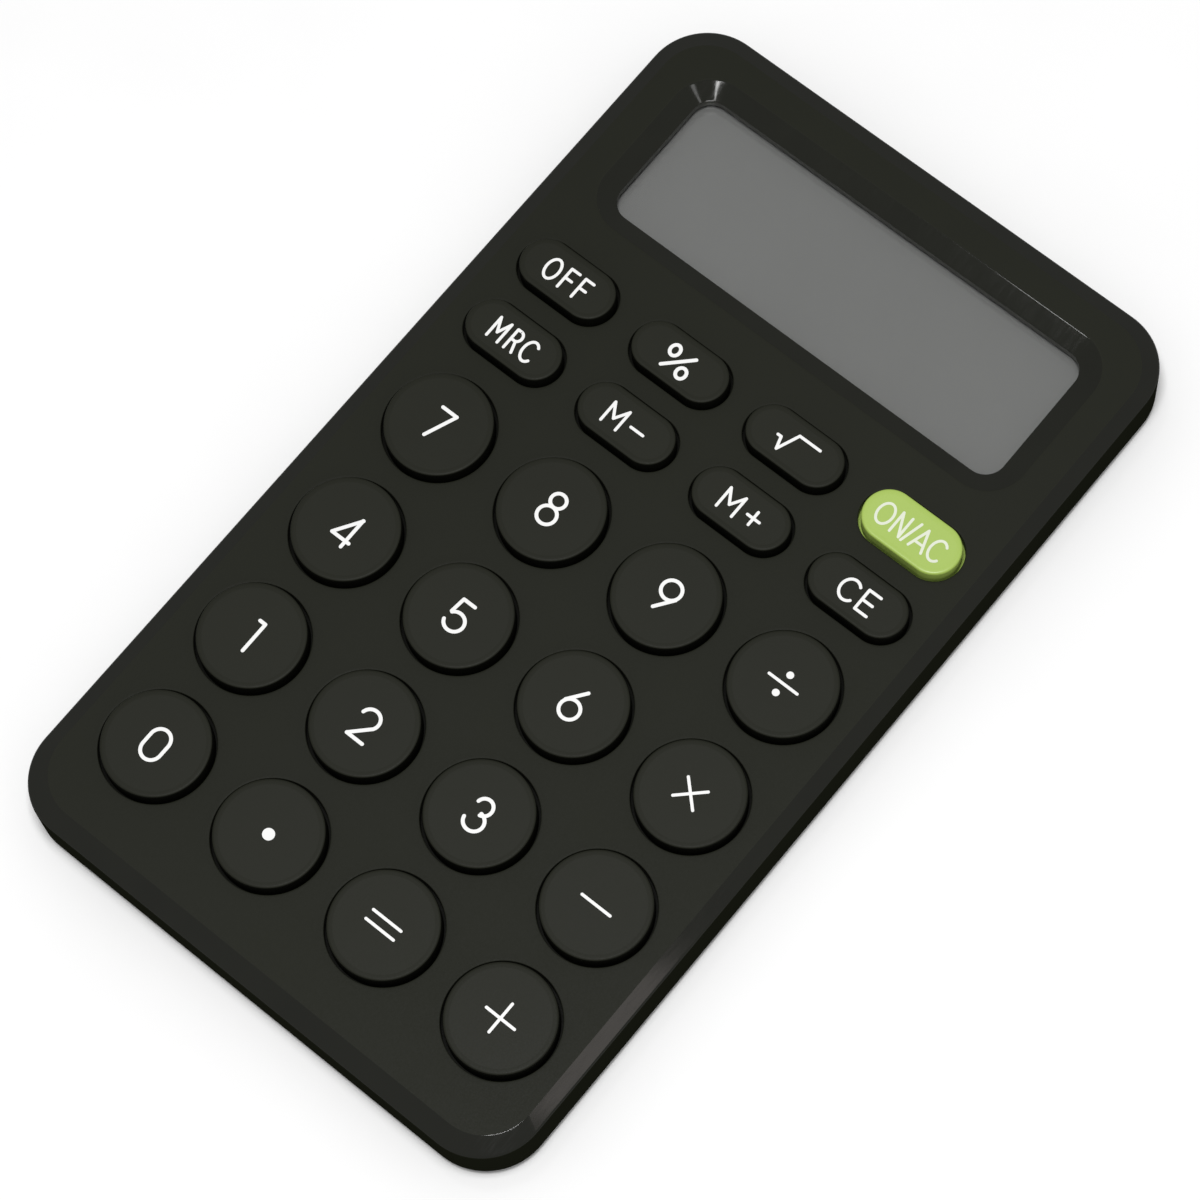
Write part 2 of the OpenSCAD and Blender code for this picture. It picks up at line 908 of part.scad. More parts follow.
// The door turns in its collar: three lugs pass the notches, then lie over the ledge
module battery_door() {
    color(DARK)
        translate([bay_x, bay_y, 0])
            difference() {
                union() {
                    bar(door_r, back_z, back_z + door_lip_t);
                    bar(plug_r, back_z, lug_top);
                    for (i = [0 : lug_count - 1])
                        rotate([0, 0, 90 + i * 360 / lug_count - lug_angle / 2])
                            ring(plug_r - door_wall / 2, lug_r, lug_z, lug_top, lug_angle);
                }
                bar(bore_r, cell_z, lug_top + cut);
                translate([-coin_slot_l / 2, -coin_slot_w / 2, back_z - cut])
                    cube([coin_slot_l, coin_slot_w, cut + coin_slot_depth]);
            }
}

front_cover();
rear_cover();
case_screws();
rubber_feet();
display_window();
window_tape();
front_polariser();
front_glass();
rear_glass();
reflector();
connector_strip();
foam_pad();
circuit_board();
chip_cover();
chip_resistors();
chip_capacitors();
keypad_sheet();
carbon_contacts();
coin_cell();
negative_contact();
positive_contact();
battery_door();
for (k = KEYS)
    keycap(k);
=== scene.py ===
"""Pocket calculator: the looks of its case, keys, display, board, cell and door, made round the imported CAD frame.

Sizes are in millimetres in the frame's axes, X to the right, Y towards the display and Z out of the face.
Meshes are scaled to metres when they are put into Blender.
"""

from __future__ import annotations

import json
import logging
import math
from dataclasses import dataclass, field
from enum import Enum
from typing import ClassVar, Sequence

import bpy
import numpy as np
from mathutils import Matrix, Vector

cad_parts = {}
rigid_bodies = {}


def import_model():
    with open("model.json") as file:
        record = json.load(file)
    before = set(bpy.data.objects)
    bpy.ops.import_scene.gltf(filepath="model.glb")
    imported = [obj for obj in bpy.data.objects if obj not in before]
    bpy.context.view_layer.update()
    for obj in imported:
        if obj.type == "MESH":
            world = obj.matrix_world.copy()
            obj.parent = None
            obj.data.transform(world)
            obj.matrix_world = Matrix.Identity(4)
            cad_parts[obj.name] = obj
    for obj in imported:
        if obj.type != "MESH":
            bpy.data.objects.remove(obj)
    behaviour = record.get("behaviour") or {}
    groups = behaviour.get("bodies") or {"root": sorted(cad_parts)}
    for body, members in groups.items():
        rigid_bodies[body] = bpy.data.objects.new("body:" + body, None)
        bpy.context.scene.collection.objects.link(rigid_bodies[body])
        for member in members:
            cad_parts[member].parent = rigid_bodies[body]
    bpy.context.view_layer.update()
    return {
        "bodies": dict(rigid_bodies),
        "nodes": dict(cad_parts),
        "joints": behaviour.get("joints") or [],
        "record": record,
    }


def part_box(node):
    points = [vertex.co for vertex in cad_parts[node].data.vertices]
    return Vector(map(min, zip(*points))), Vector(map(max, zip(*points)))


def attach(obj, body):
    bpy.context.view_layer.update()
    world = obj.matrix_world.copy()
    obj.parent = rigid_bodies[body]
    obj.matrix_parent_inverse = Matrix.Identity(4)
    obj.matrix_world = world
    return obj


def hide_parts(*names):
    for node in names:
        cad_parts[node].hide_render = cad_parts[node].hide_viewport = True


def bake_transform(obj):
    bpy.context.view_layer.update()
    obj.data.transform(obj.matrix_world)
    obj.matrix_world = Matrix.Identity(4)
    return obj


LOG = logging.getLogger("calculator")
MM = 0.001
QUARTER = math.pi / 2
NEAR = 1e-6
SHARP_TURN = 35.0
FACE, BEVEL, INSIDE, SIDE, RECESS = range(5)
Colour = tuple[float, float, float]
Place = tuple[float, float]
Profile = Sequence[Place]
Socket = bpy.types.NodeSocket
Material = bpy.types.Material
Piece = bpy.types.Object


def span(node: str) -> tuple[np.ndarray, np.ndarray]:
    """Gives a CAD node's box.

    Args:
        node: The node's name.

    Returns:
        Its lowest and its highest corner, in millimetres.
    """
    low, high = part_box(node)
    return np.array(low) / MM, np.array(high) / MM


# ---------- outlines and lofts ----------


@dataclass(frozen=True)
class Steps:
    """How many points a loop has in each corner's arc, and where along its right, top, left and bottom sides."""

    arc: int = 12
    sides: tuple[tuple[float, ...], ...] = ((0.0, 1.0),) * 4


@dataclass(frozen=True)
class Outline:
    """A rounded rectangle, which is also a circle or a stadium when its corners meet.

    radii are those of the lower right, upper right, upper left and lower left corners.
    """

    half_w: float
    half_l: float
    radii: tuple[float, float, float, float]
    centre: Place = (0.0, 0.0)

    @classmethod
    def even(cls, half_w: float, half_l: float, radius: float, centre: Place = (0.0, 0.0)) -> Outline:
        """Returns an outline with the same radius at its four corners."""
        return cls(half_w, half_l, (radius,) * 4, centre)

    @classmethod
    def circle(cls, radius: float, centre: Place = (0.0, 0.0)) -> Outline:
        """Returns a circle."""
        return cls.even(radius, radius, radius, centre)

    def grown(self, by: float) -> Outline:
        """Returns the outline moved outwards everywhere, or inwards where by is below 0."""
        radii = tuple(max(r + by, 0.0) if r > 0 else 0.0 for r in self.radii)
        return Outline(self.half_w + by, self.half_l + by, radii, self.centre)

    def loop(self, z: float, steps: Steps) -> np.ndarray:
        """Sets points round the outline at one height.

        Each corner's arc is centre + radius * (cos a, sin a) while a grows by a quarter turn,
        and each side runs straight from one arc's end to the next one's start.

        Args:
            z: The loop's height.
            steps: How the points are spread.

        Returns:
            Points (n, 3), anticlockwise from above, from the lower right corner on.
        """
        signs = ((1, -1), (1, 1), (-1, 1), (-1, -1))
        hubs = [
            np.array([self.centre[0] + sx * (self.half_w - r), self.centre[1] + sy * (self.half_l - r)])
            for (sx, sy), r in zip(signs, self.radii)
        ]
        turn = np.linspace(0.0, QUARTER, steps.arc + 1)[:-1]
        parts = []
        for i, (hub, r) in enumerate(zip(hubs, self.radii)):
            a = turn + (i - 1) * QUARTER
            parts.append(hub + r * np.stack([np.cos(a), np.sin(a)], 1))
            corner = i * QUARTER
            way = np.array([math.cos(corner), math.sin(corner)])
            here, there = hub + r * way, hubs[(i + 1) % 4] + self.radii[(i + 1) % 4] * way
            share = np.array(steps.sides[i][:-1])[:, None]
            parts.append(here + (there - here) * share)
        flat = np.concatenate(parts)
        return np.column_stack([flat, np.full(len(flat), z)])


def eased(
    loops: Sequence[np.ndarray], rounding: Sequence[float], steps: int = 4
) -> tuple[np.ndarray, np.ndarray]:
    """Carries a profile along loops and rounds its corners.

    Between two loops the surface is straight. Near a corner loop c it follows the quadratic curve
    (1 - t)^2 a + 2 t (1 - t) c + t^2 b, where a and b lie the rounding before and after c.

    Args:
        loops: The profile's corners, each a loop (n, 3) with the same number of points.
        rounding: How far from each inner corner its curve starts, or 0 for a sharp one.
        steps: Bands in each curve.

    Returns:
        The rows (k, n, 3), and for each band between rows the number of the straight piece it belongs to.
    """

    def towards(way: np.ndarray, size: float) -> np.ndarray:
        """Returns the step along way to where a rounding of this size ends, at most half the way."""
        length = np.maximum(np.linalg.norm(way, axis=1), 1e-9)
        return way * np.minimum(size / length, 0.49)[:, None]

    rows, owner = [loops[0]], []
    share = np.linspace(0.0, 1.0, steps + 1)[:, None, None]
    for i, r in enumerate(rounding, start=1):
        before, corner, after = loops[i - 1], loops[i], loops[i + 1]
        if r <= 0:
            rows.append(corner)
            owner.append(i - 1)
            continue
        a, b = corner + towards(before - corner, r), corner + towards(after - corner, r)
        curve = (1 - share) ** 2 * a + 2 * share * (1 - share) * corner + share**2 * b
        rows.extend(curve)
        owner.extend([i - 1] * (1 + steps // 2) + [i] * (steps - steps // 2))
    rows.append(loops[-1])
    owner.append(len(loops) - 2)
    return np.stack(rows), np.array(owner)


class Shell:
    """Collects grids of points, joins them where they touch, and makes one mesh of them."""

    def __init__(self) -> None:
        """Starts with nothing in it."""
        self._points: list[np.ndarray] = []
        self._quads: list[np.ndarray] = []
        self._finishes: list[np.ndarray] = []
        self._count = 0

    def grid(self, rows: np.ndarray, finish: int | np.ndarray = 0, flip: bool = False) -> Shell:
        """Adds a grid of quads that is closed round its second axis.

        Faces point outwards when the rows run outwards and then down, and the columns run anticlockwise.

        Args:
            rows: Points (k, n, 3).
            finish: The material's number, for the whole grid or for each band between rows.
            flip: True to turn the faces over.

        Returns:
            This shell.
        """
        k, n = rows.shape[:2]
        ids = np.arange(k * n).reshape(k, n) + self._count
        beside = np.roll(ids, -1, axis=1)
        quads = np.stack([ids[:-1], ids[1:], beside[1:], beside[:-1]], axis=-1).reshape(-1, 4)
        self._points.append(rows.reshape(-1, 3))
        self._quads.append(quads[:, ::-1] if flip else quads)
        self._finishes.append(np.repeat(np.broadcast_to(finish, (k - 1,)), n))
        self._count += k * n
        return self

    def loft(
        self,
        loops: Sequence[np.ndarray],
        rounding: Sequence[float] | None = None,
        finish: int | Sequence[int] = 0,
        flip: bool = False,
        steps: int = 4,
    ) -> Shell:
        """Adds a profile carried along loops, with its corners rounded as eased() says.

        Args:
            loops: The profile's corners.
            rounding: One size for each inner corner, or nothing for sharp ones.
            finish: The material's number, for all or for each straight piece of the profile.
            flip: True to turn the faces over.
            steps: Bands in each rounding.

        Returns:
            This shell.
        """
        rows, owner = eased(loops, rounding or [0.0] * (len(loops) - 2), steps)
        finishes = np.broadcast_to(finish, (len(loops) - 1,))[owner]
        return self.grid(rows, finishes, flip)

    def turned(
        self,
        profile: Profile,
        centre: tuple[float, float],
        rounding: Sequence[float] | None = None,
        finish: int | Sequence[int] = 0,
        arc: int = 12,
    ) -> Shell:
        """Adds a profile of (radius, height) pairs turned round an upright axis.

        The profile runs outwards from the axis at the top, down, and back to the axis.

        Args:
            profile: The pairs.
            centre: Where the axis stands.
            rounding: One size for each inner corner.
            finish: The material's number, for all or for each piece of the profile.
            arc: Points in a quarter turn.

        Returns:
            This shell.
        """
        steps = Steps(arc)
        loops = [Outline.circle(r, centre).loop(z, steps) for r, z in profile]
        return self.loft(loops, rounding, finish)

    def build(self, name: str, finishes: Sequence[Material]) -> Piece:
        """Makes the mesh and its object.

        Points that coincide to a ten-thousandth become one, a quad with two equal corners becomes a triangle,
        and one with fewer than three different corners is dropped. The grid that tells points apart is shifted,
        so that round sizes don't fall on its lines.

        Args:
            name: The piece's name.
            finishes: Its materials, in the order of their numbers.

        Returns:
            The object, at the origin.
        """
        points = np.concatenate(self._points)
        fineness, shift = 1e4, 0.317
        keys = np.round(points * fineness + shift).astype(np.int64)
        _, first, back = np.unique(keys, axis=0, return_index=True, return_inverse=True)
        quads = back.reshape(-1)[np.concatenate(self._quads)]
        numbers = np.concatenate(self._finishes)
        same = quads == np.roll(quads, -1, axis=1)
        whole = ~same.any(axis=1)
        three = same.sum(axis=1) == 1
        cut = quads[three]
        # a triangle keeps the corners that follow its doubled one
        order = (np.argmax(same[three], axis=1)[:, None] + np.arange(1, 4)) % 4
        tris = np.take_along_axis(cut, order, axis=1)
        real = (tris != np.roll(tris, 1, axis=1)).all(axis=1)
        tris, tri_numbers = tris[real], numbers[three][real]
        corners = np.concatenate([quads[whole].reshape(-1), tris.reshape(-1)]).astype(np.int32)
        starts = np.concatenate([np.arange(whole.sum()) * 4, whole.sum() * 4 + np.arange(len(tris)) * 3])
        used, corners = np.unique(corners, return_inverse=True)
        mesh = bpy.data.meshes.new(name)
        mesh.vertices.add(len(used))
        mesh.vertices.foreach_set("co", (points[first][used] * MM).astype(np.float32).reshape(-1))
        mesh.loops.add(len(corners))
        mesh.loops.foreach_set("vertex_index", corners.reshape(-1).astype(np.int32))
        mesh.polygons.add(len(starts))
        mesh.polygons.foreach_set("loop_start", starts.astype(np.int32))
        numbers = np.concatenate([numbers[whole], tri_numbers])
        mesh.polygons.foreach_set("material_index", numbers.astype(np.int32))
        for material in finishes:
            mesh.materials.append(material)
        mesh.update(calc_edges=True)
        mesh.validate()
        mesh.shade_smooth()
        mesh.set_sharp_from_angle(angle=math.radians(SHARP_TURN))
        obj = bpy.data.objects.new(name, mesh)
        bpy.context.scene.collection.objects.link(obj)
        shading = obj.modifiers.new("even shading", "WEIGHTED_NORMAL")
        shading.keep_sharp = True
        shading.weight = 80
        return obj


@dataclass(frozen=True)
class Cell:
    """One field of a panel, between two X and two Y lines, with the loops that go down through it.

    drop is a sequence of (outline, height), from the upper surface down to the lower one. It may be empty.
    """

    x0: float
    x1: float
    y0: float
    y1: float
    drop: tuple[tuple[Outline, float], ...] = ()
    rounding: tuple[float, ...] = ()
    finish: tuple[int, ...] = ()


class Panel:
    """A flat plate of cells side by side, each with at most one opening, inside a rounded outline."""

    def __init__(self, outline: Outline, cells: Sequence[Cell], top: float, bottom: float, arc: int) -> None:
        """Keeps the cells and notes all of their corners.

        Args:
            outline: The plate's outline. Its box is the cells' box.
            cells: The cells, which fill that box.
            top: Height of the upper surface.
            bottom: Height of the lower surface.
            arc: Points in a quarter turn.
        """
        self.outline, self.cells, self.top, self.bottom, self.arc = outline, cells, top, bottom, arc
        self._corners = {(x, y) for c in cells for x in (c.x0, c.x1) for y in (c.y0, c.y1)}
        self.steps = self._steps(outline)

    def _steps(self, form: Outline) -> Steps:
        """Returns how a loop round form is spread, with a point at every cell corner that its sides meet."""
        (cx, cy), (lr, ur, ul, ll) = form.centre, form.radii
        x0, x1, y0, y1 = cx - form.half_w, cx + form.half_w, cy - form.half_l, cy + form.half_l
        ups, downs = ([y for x, y in self._corners if abs(x - edge) < NEAR] for edge in (x1, x0))
        tops, lows = ([x for x, y in self._corners if abs(y - edge) < NEAR] for edge in (y1, y0))

        def shares(values: list[float], start: float, end: float) -> tuple[float, ...]:
            """Returns 0, 1 and the share of the way at which each value lies, in the order they are met."""
            found = {(v - start) / (end - start) for v in values}
            return (0.0, *sorted(f for f in found if NEAR < f < 1 - NEAR), 1.0)

        sides = (
            shares(ups, y0 + lr, y1 - ur),
            shares(tops, x1 - ur, x0 + ul),
            shares(downs, y1 - ul, y0 + ll),
            shares(lows, x0 + ll, x1 - lr),
        )
        return Steps(self.arc, sides)

    def _frame(self, cell: Cell) -> Outline:
        """Returns a cell's own outline, rounded where it takes up one of the plate's corners."""
        (cx, cy), w, l = self.outline.centre, self.outline.half_w, self.outline.half_l
        left, right = abs(cell.x0 - cx + w) < NEAR, abs(cell.x1 - cx - w) < NEAR
        low, high = abs(cell.y0 - cy + l) < NEAR, abs(cell.y1 - cy - l) < NEAR
        corners = (right and low, right and high, left and high, left and low)
        radii = tuple(r if taken else 0.0 for r, taken in zip(self.outline.radii, corners))
        middle = ((cell.x0 + cell.x1) / 2, (cell.y0 + cell.y1) / 2)
        return Outline((cell.x1 - cell.x0) / 2, (cell.y1 - cell.y0) / 2, radii, middle)

    def rim(self, z: float) -> np.ndarray:
        """Returns the plate's own edge at a height, with the points that its cells have there."""
        return self.outline.loop(z, self.steps)

    def skirt(self, form: Outline, z: float) -> np.ndarray:
        """Returns a loop round another outline, to loft the plate's edge to."""
        return form.loop(z, self.steps)

    def add_to(self, shell: Shell) -> None:
        """Adds both surfaces of every cell, and the walls of its opening, to a shell."""
        for cell in self.cells:
            frame = self._frame(cell)
            steps = self._steps(frame)
            upper, lower = frame.loop(self.top, steps), frame.loop(self.bottom, steps)
            if cell.drop:
                loops = [upper, *(form.loop(z, steps) for form, z in cell.drop), lower]
                shell.loft(loops, cell.rounding, cell.finish or 0, flip=True)
            else:
                for loop, turned in ((upper, True), (lower, False)):
                    middle = np.broadcast_to(np.array([*frame.centre, loop[0, 2]]), loop.shape)
                    shell.loft([loop, middle], [], 0, flip=turned)


# ---------- finishes ----------


class Graph:
    """A material's node tree, with short ways to add nodes and join them."""

    def __init__(self, name: str) -> None:
        """Makes an empty material with an output."""
        self.material = bpy.data.materials.new(name)
        self.material.use_nodes = True
        self.material.use_transparent_shadow = True
        self.tree = self.material.node_tree
        self.tree.nodes.clear()
        self.output = self.tree.nodes.new("ShaderNodeOutputMaterial")
        self.place = self.node("TexCoord").outputs["Object"]

    def node(self, kind: str, inputs: dict | None = None, **settings: object) -> bpy.types.Node:
        """Adds a node.

        Args:
            kind: The node's type, without its "ShaderNode".
            inputs: A value or a socket for each input, by name or number.
            settings: The node's own settings.

        Returns:
            The node.
        """
        made = self.tree.nodes.new("ShaderNode" + kind)
        for key, value in settings.items():
            setattr(made, key, value)
        for key, value in (inputs or {}).items():
            if isinstance(value, Socket):
                self.tree.links.new(value, made.inputs[key])
            else:
                made.inputs[key].default_value = value
        return made

    def stretched(self, scale: tuple[float, float, float]) -> Socket:
        """Returns the place scaled along each axis, which draws a pattern out along the others."""
        return self.node("Mapping", {"Vector": self.place, "Scale": scale}).outputs[0]

    def noise(self, size: float, detail: float = 2.0, rough: float = 0.5, place: object = None) -> Socket:
        """Returns cloudy noise with features about size millimetres wide."""
        inputs = {"Vector": place or self.place, "Scale": 1 / (size * MM), "Detail": detail, "Roughness": rough}
        return self.node("TexNoise", inputs).outputs["Fac"]

    def cells(self, size: float) -> Socket:
        """Returns the distance to scattered points about size millimetres apart."""
        inputs = {"Vector": self.place, "Scale": 1 / (size * MM)}
        return self.node("TexVoronoi", inputs, feature="F1").outputs["Distance"]

    def bands(self, pitch: float, way: str) -> Socket:
        """Returns waves that follow each other along an axis, a pitch apart."""
        inputs = {"Vector": self.place, "Scale": 0.314 / (pitch * MM), "Distortion": 0.0}
        return self.node("TexWave", inputs, bands_direction=way).outputs["Fac"]

    def spread(
        self, value: Socket, low: float = 0.0, high: float = 1.0, start: float = 0.3, end: float = 0.7
    ) -> Socket:
        """Returns value mapped so that start gives low and end gives high, and held beyond them."""
        inputs = {"Value": value, "From Min": start, "From Max": end, "To Min": low, "To Max": high}
        return self.node("MapRange", inputs).outputs["Result"]

    def sums(self, how: str, first: object, second: object) -> Socket:
        """Returns the result of a Math node on two values."""
        return self.node("Math", {0: first, 1: second}, operation=how).outputs[0]

    def blend(self, share: object, first: object, second: object) -> Socket:
        """Returns one colour mixed into another."""
        made = self.node("Mix", data_type="RGBA")
        for socket, value in ((made.inputs[0], share), (made.inputs[6], first), (made.inputs[7], second)):
            if isinstance(value, Socket):
                self.tree.links.new(value, socket)
            else:
                socket.default_value = (*value, 1.0) if isinstance(value, tuple) else value
        return made.outputs[2]

    def mottled(self, share: Socket, colour: Colour, low: float, high: float) -> Socket:
        """Returns a colour that runs from low to high times its strength."""
        return self.blend(share, shade(colour, low), shade(colour, high))

    def bump(self, height: Socket, depth: float) -> Socket:
        """Returns a normal for relief that is depth millimetres deep."""
        return self.node("Bump", {"Height": height, "Distance": depth * MM, "Strength": 1.0}).outputs["Normal"]

    def close(self, shader: bpy.types.Node) -> Material:
        """Joins a shader to the output and returns the material."""
        self.tree.links.new(shader.outputs[0], self.output.inputs[0])
        return self.material

    def finish(self, colour: Socket, rough: Socket, normal: Socket, inputs: dict | None = None) -> Material:
        """Makes the material from a Principled shader.

        Args:
            colour: Its base colour.
            rough: Its roughness.
            normal: Its normal.
            inputs: The shader's other inputs.

        Returns:
            The material.
        """
        every = {"Base Color": colour, "Roughness": rough, "Normal": normal, **(inputs or {})}
        return self.close(self.node("BsdfPrincipled", every))


def shade(colour: Colour, by: float) -> Colour:
    """Returns a colour made lighter or darker by a factor."""
    return tuple(min(1.0, c * by) for c in colour)


@dataclass(frozen=True)
class MouldedPlastic:
    """Moulded plastic with the fine spark-eroded grain of its mould."""

    name: str
    colour: Colour
    roughness: float = 0.5
    grain: float = 0.16
    relief: float = 0.006
    mottle: float = 0.06
    specular: float = 0.5
    coat: float = 0.0

    def material(self) -> Material:
        """Returns the material: clouded colour, speckled roughness, and two sizes of grain as relief."""
        g = Graph(self.name)
        fine = g.noise(self.grain, 3.0, 0.6)
        pits = g.cells(self.grain * 2.2)
        cloud = g.noise(17.0, 3.0, 0.55)
        base = g.mottled(g.spread(cloud), self.colour, 1 - self.mottle, 1 + self.mottle)
        speck = g.blend(g.spread(fine, 0.0, 0.35, 0.35, 0.75), base, shade(self.colour, 1 + 4 * self.mottle))
        slow = g.spread(cloud, self.roughness - 0.03, self.roughness + 0.03)
        rough = g.sums("ADD", g.spread(fine, -0.07, 0.07), slow)
        height = g.sums("ADD", g.sums("MULTIPLY", pits, 0.6), fine)
        gloss = {"Specular IOR Level": self.specular, "Coat Weight": self.coat, "Coat Roughness": 0.2}
        return g.finish(speck, rough, g.bump(height, self.relief), gloss)


@dataclass(frozen=True)
class PolishedPlastic:
    """Plastic from a polished mould: nearly a mirror, with slow waves and a few hairline rubs."""

    name: str
    colour: Colour
    roughness: float
    relief: float = 0.0006
    specular: float = 0.4

    def material(self) -> Material:
        """Returns the material: the rubs are noise stretched along Y, the waves are slow noise."""
        g = Graph(self.name)
        rubs = g.noise(2.2, 3.0, 0.6, g.stretched((9.0, 1.0, 1.0)))
        waves = g.noise(5.0, 1.0)
        rough = g.spread(rubs, self.roughness - 0.015, self.roughness + 0.04, 0.4, 0.8)
        colour = g.mottled(g.spread(waves), self.colour, 0.93, 1.07)
        return g.finish(colour, rough, g.bump(waves, self.relief), {"Specular IOR Level": self.specular})


@dataclass(frozen=True)
class PrintedInk:
    """Ink put on by a soft pad: an even film with a slightly uneven surface."""

    name: str
    colour: Colour
    roughness: float = 0.45

    def material(self) -> Material:
        """Returns the material."""
        g = Graph(self.name)
        film = g.noise(0.22, 3.0, 0.6)
        worn = g.mottled(g.spread(g.noise(2.5, 2.0)), self.colour, 0.96, 1.0)
        colour = g.blend(g.spread(film, 0.0, 0.25, 0.5, 0.8), worn, shade(self.colour, 0.88))
        rough = g.spread(film, self.roughness - 0.08, self.roughness + 0.1)
        return g.finish(colour, rough, g.bump(film, 0.003))


@dataclass(frozen=True)
class Metal:
    """Rolled or turned metal with fine drawn lines and dull spots."""

    name: str
    colour: Colour
    roughness: float
    drawn: tuple[float, float, float] = (1.0, 12.0, 12.0)

    def material(self) -> Material:
        """Returns the material: noise stretched along one axis makes the lines."""
        g = Graph(self.name)
        lines = g.noise(1.6, 4.0, 0.65, g.stretched(self.drawn))
        spots = g.noise(3.2, 3.0, 0.6)
        dull = g.spread(spots, self.roughness, self.roughness + 0.12)
        rough = g.sums("ADD", g.spread(lines, -0.06, 0.08), dull)
        colour = g.mottled(g.spread(spots), self.colour, 0.86, 1.0)
        return g.finish(colour, rough, g.bump(lines, 0.004), {"Metallic": 1.0})


@dataclass(frozen=True)
class SoftRubber:
    """Rubber or silicone with a soft skin, a little see-through where inner is above 0."""

    name: str
    colour: Colour
    roughness: float
    grain: float = 0.3
    relief: float = 0.012
    inner: float = 0.0

    def material(self) -> Material:
        """Returns the material: a fine skin, with a paler dust on it."""
        g = Graph(self.name)
        skin = g.noise(self.grain, 4.0, 0.6)
        dust = g.noise(0.9, 3.0, 0.7)
        colour = g.mottled(g.spread(dust, 0.0, 0.5, 0.5, 0.8), self.colour, 1.0, 1.35)
        rough = g.spread(skin, self.roughness - 0.08, self.roughness + 0.08)
        depth = {"Subsurface Weight": self.inner, "Subsurface Scale": MM}
        return g.finish(colour, rough, g.bump(skin, self.relief), depth)


@dataclass(frozen=True)
class StripedRubber:
    """The connector's rubber: thin conducting layers between insulating ones."""

    name: str
    colour: Colour
    layer: Colour
    pitch: float = 0.36

    def material(self) -> Material:
        """Returns the material: a sine across X makes the layers."""
        g = Graph(self.name)
        layers = g.spread(g.bands(self.pitch, "X"), 0.0, 1.0, 0.45, 0.55)
        skin = g.noise(0.25, 3.0)
        return g.finish(g.blend(layers, self.colour, self.layer), g.spread(skin, 0.5, 0.65), g.bump(skin, 0.008))


@dataclass(frozen=True)
class Pane:
    """Clear sheet: what is behind it shows, and its faces mirror a little."""

    name: str
    tint: Colour
    roughness: float = 0.03

    def material(self) -> Material:
        """Returns the material: a transparent shader with a gloss laid over it by the Fresnel share."""
        g = Graph(self.name)
        wipe = g.spread(g.noise(6.0, 4.0, 0.7), self.roughness, self.roughness + 0.06)
        ripple = g.bump(g.noise(9.0, 2.0), 0.004)
        clear = g.node("BsdfTransparent", {"Color": (*self.tint, 1.0)})
        gloss = g.node("BsdfGlossy", {"Color": (1.0, 1.0, 1.0, 1.0), "Roughness": wipe, "Normal": ripple})
        share = g.node("Fresnel", {"IOR": 1.49}).outputs[0]
        return g.close(g.node("MixShader", {0: share, 1: clear.outputs[0], 2: gloss.outputs[0]}))


@dataclass(frozen=True)
class DisplayFilm:
    """The polariser of an unlit liquid crystal display: a neutral grey film with a faint pearl grain."""

    name: str
    colour: Colour
    roughness: float = 0.35

    def material(self) -> Material:
        """Returns the material."""
        g = Graph(self.name)
        pearl = g.cells(0.11)
        base = g.mottled(g.spread(g.noise(14.0, 3.0, 0.5)), self.colour, 0.975, 1.025)
        colour = g.blend(g.spread(pearl, 0.0, 0.3, 0.1, 0.9), base, shade(self.colour, 0.93))
        rough = g.spread(pearl, self.roughness, self.roughness + 0.15)
        return g.finish(colour, rough, g.bump(pearl, 0.0004), {"Specular IOR Level": 0.3})


@dataclass(frozen=True)
class Laminate:
    """A circuit board: solder mask over tracks that run both ways, with the glass weave under it."""

    name: str
    colour: Colour
    track: Colour
    pitch: float = 1.27

    def material(self) -> Material:
        """Returns the material: tracks follow lines of X or Y, chosen by blocks of noise."""
        g = Graph(self.name)
        across, along = g.bands(self.pitch, "X"), g.bands(self.pitch, "Y")
        blocks = g.node("TexVoronoi", {"Vector": g.place, "Scale": 90.0}, distance="CHEBYCHEV").outputs["Color"]
        block = g.spread(blocks, 0.0, 1.0, 0.49, 0.51)
        other = g.sums("SUBTRACT", 1.0, block)
        line = g.sums("ADD", g.sums("MULTIPLY", across, block), g.sums("MULTIPLY", along, other))
        copper = g.spread(line, 0.0, 1.0, 0.62, 0.72)
        weave = g.noise(0.5, 3.0)
        height = g.sums("ADD", g.sums("MULTIPLY", weave, 0.3), copper)
        colour, rough = g.blend(copper, self.colour, self.track), g.spread(weave, 0.28, 0.42)
        return g.finish(colour, rough, g.bump(height, 0.03), {"Coat Weight": 0.3, "Coat Roughness": 0.15})


@dataclass(frozen=True)
class CappedChip:
    """A row of chip parts: ceramic bodies with tinned ends."""

    name: str
    colour: Colour
    node: str
    cap: float = 0.4
    tin: Colour = (0.62, 0.61, 0.58)

    def material(self) -> Material:
        """Returns the material: tin where Y lies within cap of either end of the node."""
        low, high = span(self.node)
        middle, start, soft = (low[1] + high[1]) / 2, (high[1] - low[1]) / 2 - self.cap, 0.03
        g = Graph(self.name)
        y = g.node("SeparateXYZ", {0: g.place}).outputs[1]
        off = g.node("Math", {0: g.sums("SUBTRACT", y, middle * MM)}, operation="ABSOLUTE").outputs[0]
        tinned = g.spread(off, 0.0, 1.0, (start - soft) * MM, (start + soft) * MM)
        grit = g.noise(0.15, 3.0, 0.6)
        colour = g.blend(tinned, g.mottled(g.spread(grit), self.colour, 0.8, 1.2), self.tin)
        return g.finish(colour, g.spread(grit, 0.28, 0.44), g.bump(grit, 0.008), {"Metallic": tinned})


